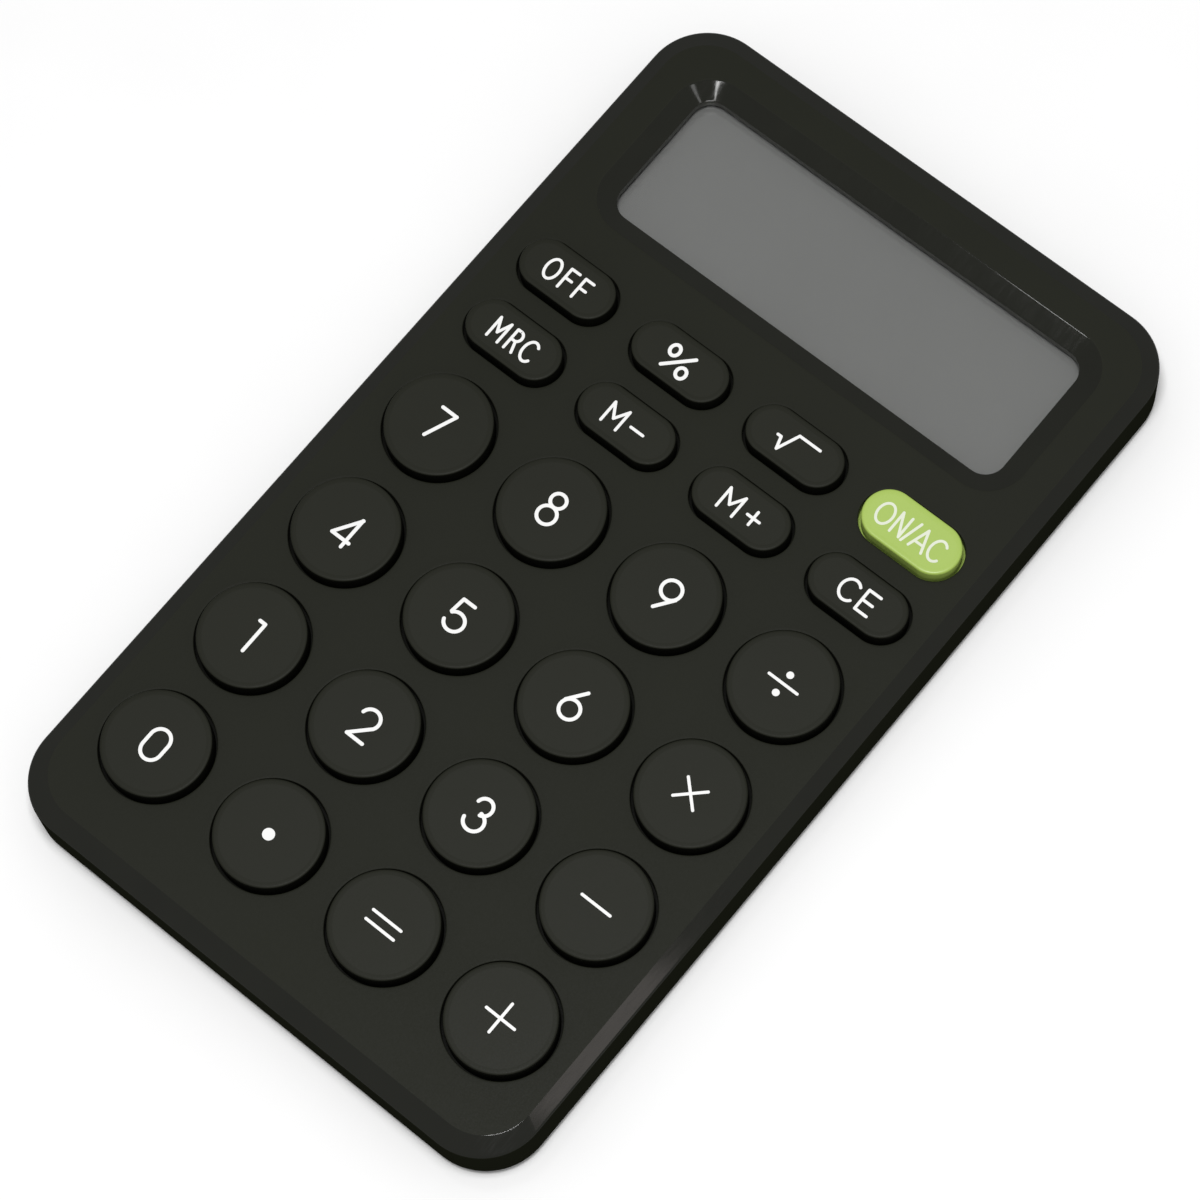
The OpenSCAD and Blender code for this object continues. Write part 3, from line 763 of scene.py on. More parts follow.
@dataclass(frozen=True)
class OpenFoam:
    """Fine open foam or fibrous tape."""

    name: str
    colour: Colour
    pore: float = 0.35

    def material(self) -> Material:
        """Returns the material: pores are the cells of scattered points."""
        g = Graph(self.name)
        pores = g.cells(self.pore)
        fibre = g.noise(self.pore * 0.5, 4.0, 0.7)
        colour = g.mottled(g.spread(pores, 0.0, 1.0, 0.1, 0.6), self.colour, 0.5, 1.3)
        height = g.sums("ADD", pores, g.sums("MULTIPLY", fibre, 0.4))
        return g.finish(colour, g.spread(fibre, 0.82, 0.98), g.bump(height, 0.08), {"Specular IOR Level": 0.2})


class Palette:
    """Every finish of the calculator, made once."""

    def __init__(self) -> None:
        """Makes the materials."""
        dark: Colour = (0.0112, 0.0121, 0.0076)
        key: Colour = (0.0135, 0.0143, 0.0096)
        green: Colour = (0.352, 0.492, 0.096)
        plastic, rubber = MouldedPlastic, SoftRubber
        self.face = plastic("face_grain", dark, 0.55, 0.15, 0.006, specular=0.12).material()
        self.bevel = PolishedPlastic("polished_bevel", shade(dark, 0.6), 0.07, specular=0.38).material()
        self.recess = PolishedPlastic("recess_slope", shade(dark, 0.7), 0.075, 0.0009, 0.3).material()
        # The case's sides are a darker copy of the face plastic with no gloss: painted shade, so the side walls
        # stay near black.
        self.side = plastic("case_side_painted_shade", shade(dark, 0.8), 0.5, 0.2, 0.004, specular=0.0).material()
        self.inside = plastic("moulded_inside", shade(dark, 0.9), 0.42, 0.3, 0.004).material()
        self.back = plastic("back_grain", shade(dark, 1.15), 0.6, 0.24, 0.014, specular=0.35).material()
        self.key_caps = [
            plastic("key_grain", key, 0.5, 0.13, 0.004, specular=0.13).material(),
            plastic("key_rim", key, 0.5, 0.2, 0.0015, 0.03, 0.1).material(),
            # The key's walls, flange and underside are the cap plastic at a quarter of its strength: painted shade.
            plastic("key_side_painted_shade", shade(key, 0.25), 0.5, 0.3, 0.002, specular=0.06).material(),
        ]
        self.green_caps = [
            plastic("green_grain", green, 0.5, 0.13, 0.004, 0.02).material(),
            plastic("green_rim", green, 0.36, 0.2, 0.0015, 0.02).material(),
            # The green key's walls, flange and underside are a slightly darker copy of its plastic: painted shade.
            plastic("green_side_painted_shade", shade(green, 0.9), 0.5, 0.3, 0.002, 0.02, 0.2).material(),
        ]
        self.white_ink = PrintedInk("white_ink", (0.86, 0.86, 0.85)).material()
        self.pale_ink = PrintedInk("pale_ink", (0.72, 0.76, 0.62)).material()
        self.steel = Metal("screw_steel", (0.56, 0.55, 0.53), 0.3).material()
        self.cell = Metal("cell_steel", (0.67, 0.66, 0.64), 0.22, (12.0, 1.0, 12.0)).material()
        self.gasket = rubber("cell_gasket", (0.05, 0.055, 0.06), 0.5, 0.2, 0.004).material()
        self.spring = Metal("contact_steel", (0.72, 0.66, 0.5), 0.25).material()
        self.foot = rubber("foot_rubber", (0.022, 0.022, 0.022), 0.78).material()
        self.silicone = rubber("keypad_silicone", (0.5, 0.5, 0.47), 0.45, 0.4, 0.006, 0.25).material()
        self.carbon = rubber("carbon_rubber", (0.012, 0.012, 0.012), 0.6, 0.2, 0.01).material()
        self.stripe = StripedRubber("connector_rubber", (0.62, 0.3, 0.33), (0.015, 0.015, 0.015)).material()
        self.window = Pane("window_acrylic", (0.985, 0.99, 0.985)).material()
        self.glass = Pane("display_glass", (0.9, 0.95, 0.92), 0.02).material()
        self.film = DisplayFilm("display_film", (0.15, 0.15, 0.148)).material()
        self.reflector = Metal("reflector_foil", (0.72, 0.72, 0.7), 0.4, (8.0, 1.0, 8.0)).material()
        self.board = Laminate("board_laminate", (0.012, 0.085, 0.03), (0.03, 0.17, 0.06)).material()
        self.resin = plastic("chip_resin", (0.008, 0.008, 0.008), 0.25, 0.6, 0.01, coat=0.4).material()
        self.resistor = CappedChip("resistor_ceramic", (0.012, 0.012, 0.014), "chip_resistors").material()
        self.capacitor = CappedChip("capacitor_ceramic", (0.42, 0.29, 0.17), "chip_capacitors").material()
        self.foam = OpenFoam("black_foam", (0.03, 0.03, 0.03)).material()
        self.tape = OpenFoam("black_tape", (0.012, 0.012, 0.012), 0.2).material()


# ---------- parts of the case ----------


class Part:
    """A sub-assembly that is one piece and stands for one CAD node."""

    home: ClassVar[tuple[str, str, str]]

    def dress(self, piece: Piece) -> None:
        """Puts the piece on its body and its node, all as home names them."""
        settle(piece, *self.home)


@dataclass
class FrontCover(Part):
    """The front half of the case: flat grained face, polished bevel, sloping display recess and 24 key holes."""

    home = ("root", "case_plastic", "front_cover")

    case_r: float = 7.5
    wall: float = 1.6
    bevel: tuple[float, float, float] = (1.8, 1.9, 2.4)
    bevel_drop: float = 0.55
    face_r: float = 6.0
    border: float = 0.6
    split_z: float = 3.0
    board_z: float = 2.7
    sheet_top: float = 4.2
    plate: float = 1.5
    key_gap: float = 0.35
    flange: float = 0.65
    hole_land: float = 0.35
    view: tuple[float, float, float, float] = (27.2, 8.9, 43.4, 2.5)
    slope: tuple[float, float, float, float] = (29.7, 11.2, 43.6, 5.0)
    slope_drop: float = 0.6
    slope_land: float = 0.4
    post: tuple[float, float, float] = (2.1, 0.7, 5.9)
    rib_r: float = 1.1
    sink: float = 0.3
    frame: tuple[float, float, float] = (0.15, 0.9, 1.9)
    arc: int = 20

    def __post_init__(self) -> None:
        """Reads the cover's size from its node."""
        self.half_w, self.half_l, self.face_z = span("front_cover")[1]
        self.under = self.face_z - self.plate
        side, top, bottom = self.bevel
        self.face = Outline.even(
            self.half_w - side, self.half_l - (top + bottom) / 2, self.face_r, (0.0, (bottom - top) / 2)
        )

    def _hole(self, name: str) -> Outline:
        """Returns the hole round a key."""
        low, high = span(name)
        half = (high - low)[:2] / 2 - self.flange
        middle = (high + low)[:2] / 2
        return Outline.even(*half, min(half), tuple(middle)).grown(self.key_gap)

    def _cells(self, block: Outline) -> list[Cell]:
        """Returns one cell for each key hole, and one for the display."""
        face_z, under = self.face_z, self.under
        holes = [[self._hole(name) for name in row] for row in KEY_ROWS]
        last = holes[-1][0]
        slope_w, slope_l, slope_y, slope_r = self.slope
        display_edge = (slope_y - slope_l + last.centre[1] + last.half_l) / 2
        low_edge, high_edge = block.centre[1] - block.half_l, block.centre[1] + block.half_l
        lines = [low_edge]
        for below, above in zip(holes, holes[1:]):
            lines.append((below[0].centre[1] + below[0].half_l + above[0].centre[1] - above[0].half_l) / 2)
        lines.append(display_edge)
        pitch = (holes[0][-1].centre[0] - holes[0][0].centre[0]) / 3
        xs = [-block.half_w, -pitch, 0.0, pitch, block.half_w]
        cells = []
        for r, row in enumerate(holes):
            for c, hole in enumerate(row):
                drop = ((hole.grown(self.hole_land), face_z), (hole, face_z), (hole, under))
                box = (xs[c], xs[c + 1], lines[r], lines[r + 1])
                cells.append(Cell(*box, drop, (0.0, 0.12, 0.0), (FACE, FACE, INSIDE, INSIDE)))
        view_w, view_l, view_y, view_r = self.view
        slope = Outline.even(slope_w, slope_l, slope_r, (0.0, slope_y))
        opening = Outline.even(view_w, view_l, view_r, (0.0, view_y))
        land, low_z = slope.grown(self.slope_land), face_z - self.slope_drop
        drop = ((land, face_z), (slope, face_z), (opening, low_z), (opening, under))
        box = (-block.half_w, block.half_w, display_edge, high_edge)
        return [*cells, Cell(*box, drop, (0.0, 0.15, 0.12, 0.0), (FACE, FACE, RECESS, INSIDE, INSIDE))]

    def build(self, palette: Palette) -> Piece:
        """Builds the skin as one closed surface, with the posts, ribs and display frame behind it.

        Args:
            palette: The finishes.

        Returns:
            The piece.
        """
        shell = Shell()
        face_z, under = self.face_z, self.under
        block = self.face.grown(-self.border)
        panel = Panel(block, self._cells(block), face_z, under, self.arc)
        panel.add_to(shell)
        case = Outline.even(self.half_w, self.half_l, self.case_r)
        room = case.grown(-self.wall)
        spots = (
            (self.face.grown(-self.border / 2), face_z), (self.face, face_z), (case, face_z - self.bevel_drop),
            (case, self.split_z), (room, self.split_z), (room, under),
        )
        loops = [panel.rim(face_z), *(panel.skirt(form, z) for form, z in spots), panel.rim(under)]
        finish = (FACE, FACE, BEVEL, SIDE, INSIDE, INSIDE, INSIDE)
        shell.loft(loops, (0.0, 0.02, 0.3, 0.16, 0.05, 0.3), finish, steps=6)
        self._posts(shell)
        self._display_frame(shell)
        finishes = [palette.face, palette.bevel, palette.inside, palette.side, palette.recess]
        return shell.build("front_cover_shell", finishes)

    def _posts(self, shell: Shell) -> None:
        """Adds the screw posts with their pilot holes, and the ribs that rest on the keypad sheet."""
        root, (post_r, pilot_r, pilot_z) = self.under + self.sink, self.post
        for place in SCREWS:
            outside = ((0.0, root), (post_r, root), (post_r, self.board_z))
            pilot = ((pilot_r, self.board_z), (pilot_r, pilot_z), (0.0, pilot_z))
            shell.turned((*outside, *pilot), place, (0.0, 0.1, 0.1, 0.0), INSIDE)
        for place in RIBS:
            profile = ((0.0, root), (self.rib_r, root), (self.rib_r, self.sheet_top), (0.0, self.sheet_top))
            shell.turned(profile, place, (0.0, 0.1), INSIDE)

    def _display_frame(self, shell: Shell) -> None:
        """Adds the rib that frames the window and the glass."""
        low, high = span("display_window")
        gap, wall, depth = self.frame
        top, end, corner = self.under + 0.2, self.under - depth, 0.2
        inner = Outline.even(*((high - low)[:2] / 2 + gap), corner, tuple((high + low)[:2] / 2))
        outer, steps = inner.grown(wall), Steps(4)
        ring = ((outer, top), (outer, end), (inner, end), (inner, top), (outer, top))
        shell.loft([form.loop(z, steps) for form, z in ring], (0.1, 0.1, 0.0), INSIDE)


KEY_ROWS = (
    ("key_0", "key_point", "key_equals", "key_plus"),
    ("key_1", "key_2", "key_3", "key_minus"),
    ("key_4", "key_5", "key_6", "key_times"),
    ("key_7", "key_8", "key_9", "key_divide"),
    ("key_memory_recall", "key_memory_minus", "key_memory_plus", "key_clear_entry"),
    ("key_off", "key_percent", "key_square_root", "key_on"),
)
BAY = (5.0, 45.05)
PITCH = 16.3
SCREW_ROW = -6.125
SCREWS = (*((x, y) for x in (30.2, -30.2) for y in (55.4, -55.4)), (PITCH, SCREW_ROW), (-PITCH, SCREW_ROW))
RIBS = (*((x, y) for y in (-37.785, -21.955, 9.84) for x in (-PITCH, 0.0, PITCH)), (0.0, SCREW_ROW))


def settle(piece: Piece, body: str, slot: str, *nodes: str) -> Piece:
    """Puts a finished piece on its body.

    Args:
        piece: The piece.
        body: The CAD body that it moves with.
        slot: The record's material slot; not used.
        nodes: The CAD nodes that it stands for.

    Returns:
        The piece.
    """
    if nodes:
        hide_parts(*nodes)
    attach(piece, body)
    LOG.info("%s: %d faces, on %s", piece.name, len(piece.data.polygons), body)
    return piece


# ---------- keys ----------


class KeyForm(Enum):
    """The two forms of key."""

    ROUND = "round"
    OBLONG = "oblong"


def form_of(row: tuple[str, ...]) -> KeyForm:
    """Returns the form of the keys in a row: the first four rows are round."""
    return KeyForm.ROUND if row in KEY_ROWS[:4] else KeyForm.OBLONG


def line(*points: Place) -> np.ndarray:
    """Returns a straight pen stroke through points, with points set close along it."""
    corners = np.array(points, float)
    parts = [np.linspace(a, b, 6)[:-1] for a, b in zip(corners, corners[1:])]
    return np.concatenate([*parts, corners[-1:]])


def bars(*ends: tuple[float, float, float, float]) -> list[np.ndarray]:
    """Returns one straight pen stroke for each pair of ends (x0, y0, x1, y1)."""
    return [line((x0, y0), (x1, y1)) for x0, y0, x1, y1 in ends]


def bow(cx: float, cy: float, rx: float, ry: float, start: float = 0, end: float = 360) -> np.ndarray:
    """Returns a curved pen stroke: centre + (rx cos a, ry sin a) while a runs from start to end, in degrees."""
    a = np.radians(np.linspace(start, end, 28))
    return np.stack([cx + rx * np.cos(a), cy + ry * np.sin(a)], 1)


def strokes_of(name: str) -> tuple[list[np.ndarray], float]:
    """Gives the pen strokes of a key's legend.

    Args:
        name: The key's node.

    Returns:
        The strokes, in millimetres from the key's centre, and the pen's half width.
    """
    bar = 1.93
    digit, letter, sign, small, dot = 0.21, 0.172, 0.17, 0.16, 0.7
    zero = [bow(0.1, 0.53, 1.23, 1.28, 0, 180), bow(0.1, -0.78, 1.23, 1.28, 180, 360), [(1.33, 0.53)]]
    two = [bow(0.2, 0.72, 1.18, 1.15, 168, -28), line((1.2, 0.1), (-0.85, -1.95))]
    word = ((-4.45, -2.6), (-1.98, -0.75), (-0.35, 0.4), (0.62, 2.35), (2.72, 4.5))
    legends: dict[str, tuple[list[np.ndarray], float]] = {
        "0": ([np.concatenate(zero)], digit),
        "1": (bars((-0.35, 1.86, 0.42, 1.86), (0.42, 1.86, 0.42, -1.95)), digit),
        "2": ([np.concatenate(two), *bars((-0.85, -1.95, 1.35, -1.95))], digit),
        "3": ([bow(0.02, 0.83, 0.98, 1.0, 170, -80), bow(0.1, -1.05, 1.2, 1.14, 84, -170)], digit),
        "4": (bars((1.0, 1.9, -1.0, -1.15), (-1.0, -1.15, 1.42, -1.15), (0.95, 1.9, 0.95, -1.95)), digit),
        "5": (
            [*bars((-0.72, 1.8, 0.85, 1.8), (-0.72, 1.8, -0.92, -0.05)), bow(0.1, -0.86, 1.2, 1.15, 140, -160)],
            digit,
        ),
        "6": ([bow(0.08, -0.78, 1.2, 1.18), *bars((-1.0, -0.15, 0.55, 1.9))], digit),
        "7": (bars((-0.9, 1.85, 1.12, 1.85), (1.12, 1.85, -0.45, -1.95)), digit),
        "8": ([bow(0.05, 1.18, 0.92, 0.9), bow(0.05, -0.86, 1.14, 1.12)], digit),
        "9": ([bow(0.1, 0.82, 1.2, 1.18), *bars((1.18, 0.2, -0.35, -1.88))], digit),
        "point": (bars((0.07, -0.1, 0.1, -0.1)), dot),
        "equals": (bars((-bar, 0.6, bar, 0.6), (-bar, -0.65, bar, -0.65)), sign),
        "plus": (bars((-bar, -0.05, bar, -0.05), (0.0, -bar, 0.0, bar)), sign),
        "minus": (bars((-bar, -0.05, bar, -0.05)), sign),
        "times": (bars((-1.35, 1.3, 1.4, -1.35), (-1.35, -1.35, 1.4, 1.3)), sign),
        "divide": (bars((-bar, 0.0, bar, 0.0)), sign),
        "off": (letters("OFF", (-2.85, -1.2), (-0.28, 0.87), (1.74, 2.89)), letter),
        "memory_recall": (letters("MRC", (-2.75, -1.22), (-0.28, 0.8), (1.55, 3.2)), letter),
        "memory_minus": ([*letters("M", (-2.5, -0.42)), *bars((0.72, -0.1, 2.42, -0.1))], letter),
        "memory_plus": (
            [*letters("M", (-2.35, -0.22)), *bars((1.0, -0.15, 2.65, -0.15), (1.82, 0.75, 1.82, -1.05))],
            letter,
        ),
        "clear_entry": (letters("CE", (-2.2, 0.05), (0.66, 2.25)), letter),
        "percent": (
            [bow(-1.25, 0.68, 0.58, 0.7), bow(1.0, -1.1, 0.6, 0.68), *bars((-1.5, -1.6, 1.35, 1.2))],
            digit,
        ),
        "square_root": (
            bars(
                (-2.3, -0.1, -1.85, -0.1), (-1.85, -0.1, -1.4, -1.55),
                (-1.4, -1.55, -0.25, 1.2), (-0.25, 1.2, 2.6, 1.2),
            ),
            letter,
        ),
        "on": (letters("ON/AC", *word), small),
    }
    return legends[name.removeprefix("key_")]


def letters(word: str, *places: Place) -> list[np.ndarray]:
    """Draws capital letters as pen strokes.

    Args:
        word: The letters.
        places: For each letter its left edge and its right edge.

    Returns:
        Their strokes.
    """
    low, high = -1.45, 1.2
    middle = (low + high) / 2
    made: list[np.ndarray] = []
    for letter, (x0, x1) in zip(word, places):
        cx, rx, ry = (x0 + x1) / 2, (x1 - x0) / 2, (high - low) / 2
        stem, arm, waist = (x0, high, x0, low), (x0, high, x1, high), x1 - 0.2
        bowl = [
            line((x0, high), (x1 - 0.55, high)),
            bow(x1 - 0.6, (high + middle) / 2, 0.55, (high - middle) / 2, 90, -90),
            line((x1 - 0.6, middle), (x0, middle)),
        ]
        made += {
            "A": bars((x0, low, cx, high), (cx, high, x1, low), (x0 + rx * 0.35, -0.65, x1 - rx * 0.35, -0.65)),
            "C": [bow(cx, middle, rx, ry, 45, 315)],
            "E": bars(stem, arm, (x0, middle, waist, middle), (x0, low, x1, low)),
            "F": bars(stem, arm, (x0, middle + 0.05, waist, middle + 0.05)),
            "M": bars((x0, low, x0, high), (x0, high, cx, -0.5), (cx, -0.5, x1, high), (x1, high, x1, low)),
            "N": bars((x0, low, x0, high), (x0, high, x1, low), (x1, low, x1, high)),
            "O": [bow(cx, middle, rx, ry)],
            "R": [*bars((x0, low, x0, high)), np.concatenate(bowl), *bars((cx + 0.1, middle, x1, low))],
            "/": bars((x0, low - 0.1, x1, high + 0.1)),
        }[letter]
    return made


def ribbon(path: np.ndarray, half: float, low: float, high: float) -> np.ndarray:
    """Gives a flat raised stroke with round ends along a path.

    Across the path the section is a rectangle, half wide to each side. At each end the path goes on by half,
    and its width follows the circle half * sin(a), so the stroke ends in half a disc.
    A path that ends where it starts is closed on itself instead.

    Args:
        path: Points (n, 2).
        half: Half the stroke's width.
        low: Height of its underside.
        high: Height of its top.

    Returns:
        Rows (k, 4, 3).
    """
    closed = np.linalg.norm(path[0] - path[-1]) < NEAR
    if closed:
        ahead = np.roll(path[:-1], -1, axis=0) - np.roll(path[:-1], 1, axis=0)
        middle, width = np.vstack([path[:-1], path[:1]]), np.full(len(path), half)
        way = np.vstack([ahead, ahead[:1]])
    else:
        ahead = np.gradient(path, axis=0)
        a = np.linspace(0.0, QUARTER, 8)[:-1]
        unit = ahead / np.linalg.norm(ahead, axis=1)[:, None]
        first = path[0] - unit[0] * (half * np.cos(a))[:, None]
        last = path[-1] + unit[-1] * (half * np.cos(a[::-1]))[:, None]
        middle = np.vstack([first, path, last])
        way = np.vstack([np.repeat(unit[:1], len(a), 0), unit, np.repeat(unit[-1:], len(a), 0)])
        width = np.concatenate([half * np.sin(a), np.full(len(path), half), half * np.sin(a[::-1])])
    way = way / np.linalg.norm(way, axis=1)[:, None]
    side = np.stack([-way[:, 1], way[:, 0]], 1) * width[:, None]
    left, right = middle + side, middle - side
    corners = [(left, high), (left, low), (right, low), (right, high)]
    return np.stack([np.column_stack([p, np.full(len(p), z)]) for p, z in corners], axis=1)


@dataclass
class Key:
    """One key: a hollow cap with a rounded top edge, its flange, its plunger and its printed legend."""

    name: str
    form: KeyForm
    green: bool = False
    flange: float = 0.65
    flange_t: float = 0.8
    wall: float = 1.0
    roof: float = 1.2
    edge: float = 0.34
    crown: float = 0.7
    ink: float = 0.02
    ink_step: float = 0.003
    plunger: tuple[float, float] = (1.3, 2.0)
    dots: tuple[float, float, float] = (0.42, 1.22, -1.28)

    def __post_init__(self) -> None:
        """Reads the key's place and size from its node."""
        low, high = span(self.name)
        self.centre = tuple((high + low)[:2] / 2)
        half = (high - low)[:2] / 2 - self.flange
        self.outline = Outline.even(*half, min(half), self.centre)
        self.top, self.bottom = high[2], low[2]

    def build(self, palette: Palette) -> list[Piece]:
        """Builds the cap and its legend.

        Args:
            palette: The finishes.

        Returns:
            The pieces.
        """
        steps = Steps(24)
        body = self.outline
        roof = self.top - self.roof
        flange_top = self.bottom + self.flange_t
        inner, outer, point = (Outline.circle(r, self.centre) for r in (*self.plunger, 0.0))
        foot, room = body.grown(self.flange), body.grown(-self.wall)
        reach = min(body.half_w, body.half_l)
        spots = (
            (body.grown(-reach), self.top), (body.grown(-self.crown), self.top), (body, self.top),
            (body, flange_top), (foot, flange_top), (foot, self.bottom), (room, self.bottom), (room, roof),
            (outer, roof), (outer, self.bottom), (inner, self.bottom), (inner, roof), (point, roof),
        )
        rounding = (0.0, self.edge, 0.05, 0.08, 0.08, 0.08, 0.1, 0.0, 0.06, 0.06, 0.0)
        loops = [form.loop(z, steps) for form, z in spots]
        # finish 2 is the darker side copy of the cap plastic: painted shade on the walls, flange and underside
        shell = Shell().loft(loops, rounding, (0, 1, *(2,) * 10), steps=6)
        cap = shell.build(self.name + "_cap", palette.green_caps if self.green else palette.key_caps)
        return [cap, self._legend(palette)]

    def _legend(self, palette: Palette) -> Piece:
        """Builds the printed legend, each stroke a hair higher than the last so that none share a plane."""
        strokes, half = strokes_of(self.name)
        drawn = [(path, half) for path in strokes]
        if self.name == "key_divide":
            dot_r, *heights = self.dots
            drawn += [(line((0.0, y), (0.02, y)), dot_r) for y in heights]
        shell = Shell()
        for i, (path, width) in enumerate(drawn):
            top = self.top + self.ink + self.ink_step * i
            shell.grid(ribbon(path + np.array(self.centre), width, self.top - self.ink, top))
        return shell.build(self.name + "_legend", [palette.pale_ink if self.green else palette.white_ink])

    def dress(self, pieces: list[Piece]) -> None:
        """Puts the cap and the legend on the key's body."""
        cap, legend = pieces
        slot = "green_key_plastic" if self.green else "key_plastic"
        settle(cap, self.name, slot, self.name)
        settle(legend, self.name, slot)


# ---------- back of the case, door, screws and feet ----------


@dataclass
class RearCover(Part):
    """The back half of the case: grained back with a rounded edge, bosses, supports and the door's collar."""

    home = ("root", "case_plastic", "rear_cover")

    case_r: float = 7.5
    edge: float = 0.8
    floor_z: float = 1.5
    split_z: float = 3.0
    board_z: float = 2.7
    lip: tuple[float, float, float] = (1.65, 2.35, 3.9)
    lip_end: float = 8.5
    seat: tuple[float, float] = (12.6, 1.15)
    hole_r: float = 11.3
    ledge_top: float = 1.75
    shelf: tuple[float, float] = (2.45, 2.65)
    guide: tuple[float, float, float] = (10.3, 11.2, 3.7)
    collar: tuple[float, float, float] = (12.4, 13.3, 14.0)
    head: tuple[float, float] = (2.0, 1.6)
    boss: tuple[float, float] = (3.0, 1.0)
    support_r: float = 1.4
    sink: float = 0.2
    columns: tuple[float, float] = (-9.6, 19.6)
    rows: tuple[float, float, float, float] = (-2.0, 30.0, 42.5, 51.5)
    arc: int = 18

    def __post_init__(self) -> None:
        """Reads the cover's size from its node."""
        low, high = span("rear_cover")
        self.half_w, self.half_l, self.back_z = high[0], high[1], low[2]

    def _bay_drop(self) -> tuple[tuple[Outline, float], ...]:
        """Returns the loops down through the door's collar: shelf, ledge and seat."""
        (seat_r, seat_z), (in_r, mid_r, out_r), (shelf_z, shelf_top) = self.seat, self.collar, self.shelf
        spots = (
            (out_r, self.floor_z), (out_r, self.ledge_top), (mid_r, self.ledge_top), (mid_r, shelf_top),
            (self.guide[0], shelf_top), (self.guide[0], shelf_z), (in_r, shelf_z), (in_r, self.ledge_top),
            (self.hole_r, self.ledge_top), (self.hole_r, seat_z), (seat_r, seat_z), (seat_r, self.back_z),
            (seat_r + 0.3, self.back_z),
        )
        return tuple((Outline.circle(r, BAY), z) for r, z in spots)

    def _cells(self, block: Outline) -> list[Cell]:
        """Returns the back's cells: one round the door, one round each screw hole, and plain ones between them."""
        w, l = block.half_w, block.half_l
        (bay_w, bay_e), (mid_row, bay_s, foot_row, screw_row) = self.columns, self.rows
        rounding = (0.0, 0.1, 0.0, 0.05, 0.05, *(0.0,) * 6, 0.12, 0.0)
        made = [
            Cell(bay_w, bay_e, bay_s, l, self._bay_drop(), rounding, (INSIDE,) * 12 + (FACE,) * 2),
            Cell(-w, w, mid_row, bay_s),
            Cell(bay_w, bay_e, -l, -foot_row),
        ]
        for x, y in SCREWS:
            hole = Outline.circle(self.head[0], (x, y))
            drop = ((hole, self.floor_z), (hole, self.back_z), (hole.grown(0.2), self.back_z))
            if abs(x) < bay_e:
                x0, x1, y0, y1 = (-w, 0.0, -foot_row, mid_row) if x < 0 else (0.0, w, -foot_row, mid_row)
            else:
                x0, x1 = (-w, bay_w) if x < 0 else (bay_e, w)
                y0, y1 = (-l, -screw_row) if y < 0 else (screw_row, l)
            made.append(Cell(x0, x1, y0, y1, drop, (0.0, 0.1, 0.0), (INSIDE, INSIDE, FACE, FACE)))
        for x0, x1 in ((-w, bay_w), (bay_e, w)):
            pairs = ((-screw_row, -foot_row), (foot_row, screw_row), (bay_s, foot_row))
            made += [Cell(x0, x1, y0, y1) for y0, y1 in pairs]
        return made

    def build(self, palette: Palette) -> Piece:
        """Builds the back.

        Args:
            palette: The finishes.

        Returns:
            The piece.
        """
        shell = Shell()
        case = Outline.even(self.half_w, self.half_l, self.case_r)
        block = case.grown(-self.edge - 0.4)
        panel = Panel(block, self._cells(block), self.floor_z, self.back_z, self.arc)
        panel.add_to(shell)
        spots = (
            (case, self.split_z), (case, self.back_z + self.edge), (case.grown(-self.edge), self.back_z),
            (case.grown(-self.edge - 0.3), self.back_z),
        )
        skirts = (panel.skirt(form, z) for form, z in spots)
        loops = [panel.rim(self.floor_z), panel.rim(self.split_z), *skirts, panel.rim(self.back_z)]
        finish = (INSIDE, INSIDE, SIDE, SIDE, FACE, FACE)
        shell.loft(loops, (0.1, 0.16, 0.4, 0.4, 0.0), finish, steps=6)
        self._lips(shell)
        self._pillars(shell)
        return shell.build("rear_cover_shell", [palette.back, palette.bevel, palette.inside, palette.side])

    def _lips(self, shell: Shell) -> None:
        """Adds the four straight lips that the front cover fits over, and the guide round the cell."""
        out, inner, top = self.lip
        half_t, middle = (inner - out) / 2, (inner + out) / 2
        for sign in (-1, 1):
            long = Outline.even(half_t, self.half_l - self.lip_end, half_t, (sign * (self.half_w - middle), 0.0))
            wide = Outline.even(self.half_w - self.lip_end, half_t, half_t, (0.0, sign * (self.half_l - middle)))
            for bar in (long, wide):
                shell.loft(block_loops(bar, self.floor_z - 0.3, top), (0.2, 0.0), INSIDE)
        r0, r1, guide_top = self.guide
        shell.grid(bent_bar((r0, r1), (self.shelf[1] - 0.1, guide_top), (-60.0, 150.0), BAY), INSIDE)

    def _pillars(self, shell: Shell) -> None:
        """Adds a bored boss at each screw and a solid support under each rib."""
        (head_r, head_top), (boss_r, bore_r), top = self.head, self.boss, self.board_z
        root, steps = self.floor_z - self.sink, Steps(self.arc)
        ring = (
            (boss_r, root), (boss_r, top), (bore_r, top), (bore_r, head_top), (head_r, head_top), (head_r, root),
            (boss_r, root),
        )
        for place in SCREWS:
            loops = [Outline.circle(r, place).loop(z, steps) for r, z in ring]
            shell.loft(loops, (0.1, 0.08, 0.0, 0.0, 0.0), INSIDE, flip=True)
        support = ((0.0, top), (self.support_r, top), (self.support_r, root), (0.0, root))
        for place in RIBS:
            shell.turned(support, place, (0.1, 0.0), INSIDE)


def block_loops(form: Outline, low: float, high: float) -> list[np.ndarray]:
    """Returns the loops of an upright block, from the middle of its top, down its sides, to the middle below."""
    steps = Steps(6)
    top, bottom = form.loop(high, steps), form.loop(low, steps)
    spots = [np.broadcast_to(np.array([*form.centre, z]), top.shape) for z in (high, low)]
    return [spots[0], top, bottom, spots[1]]


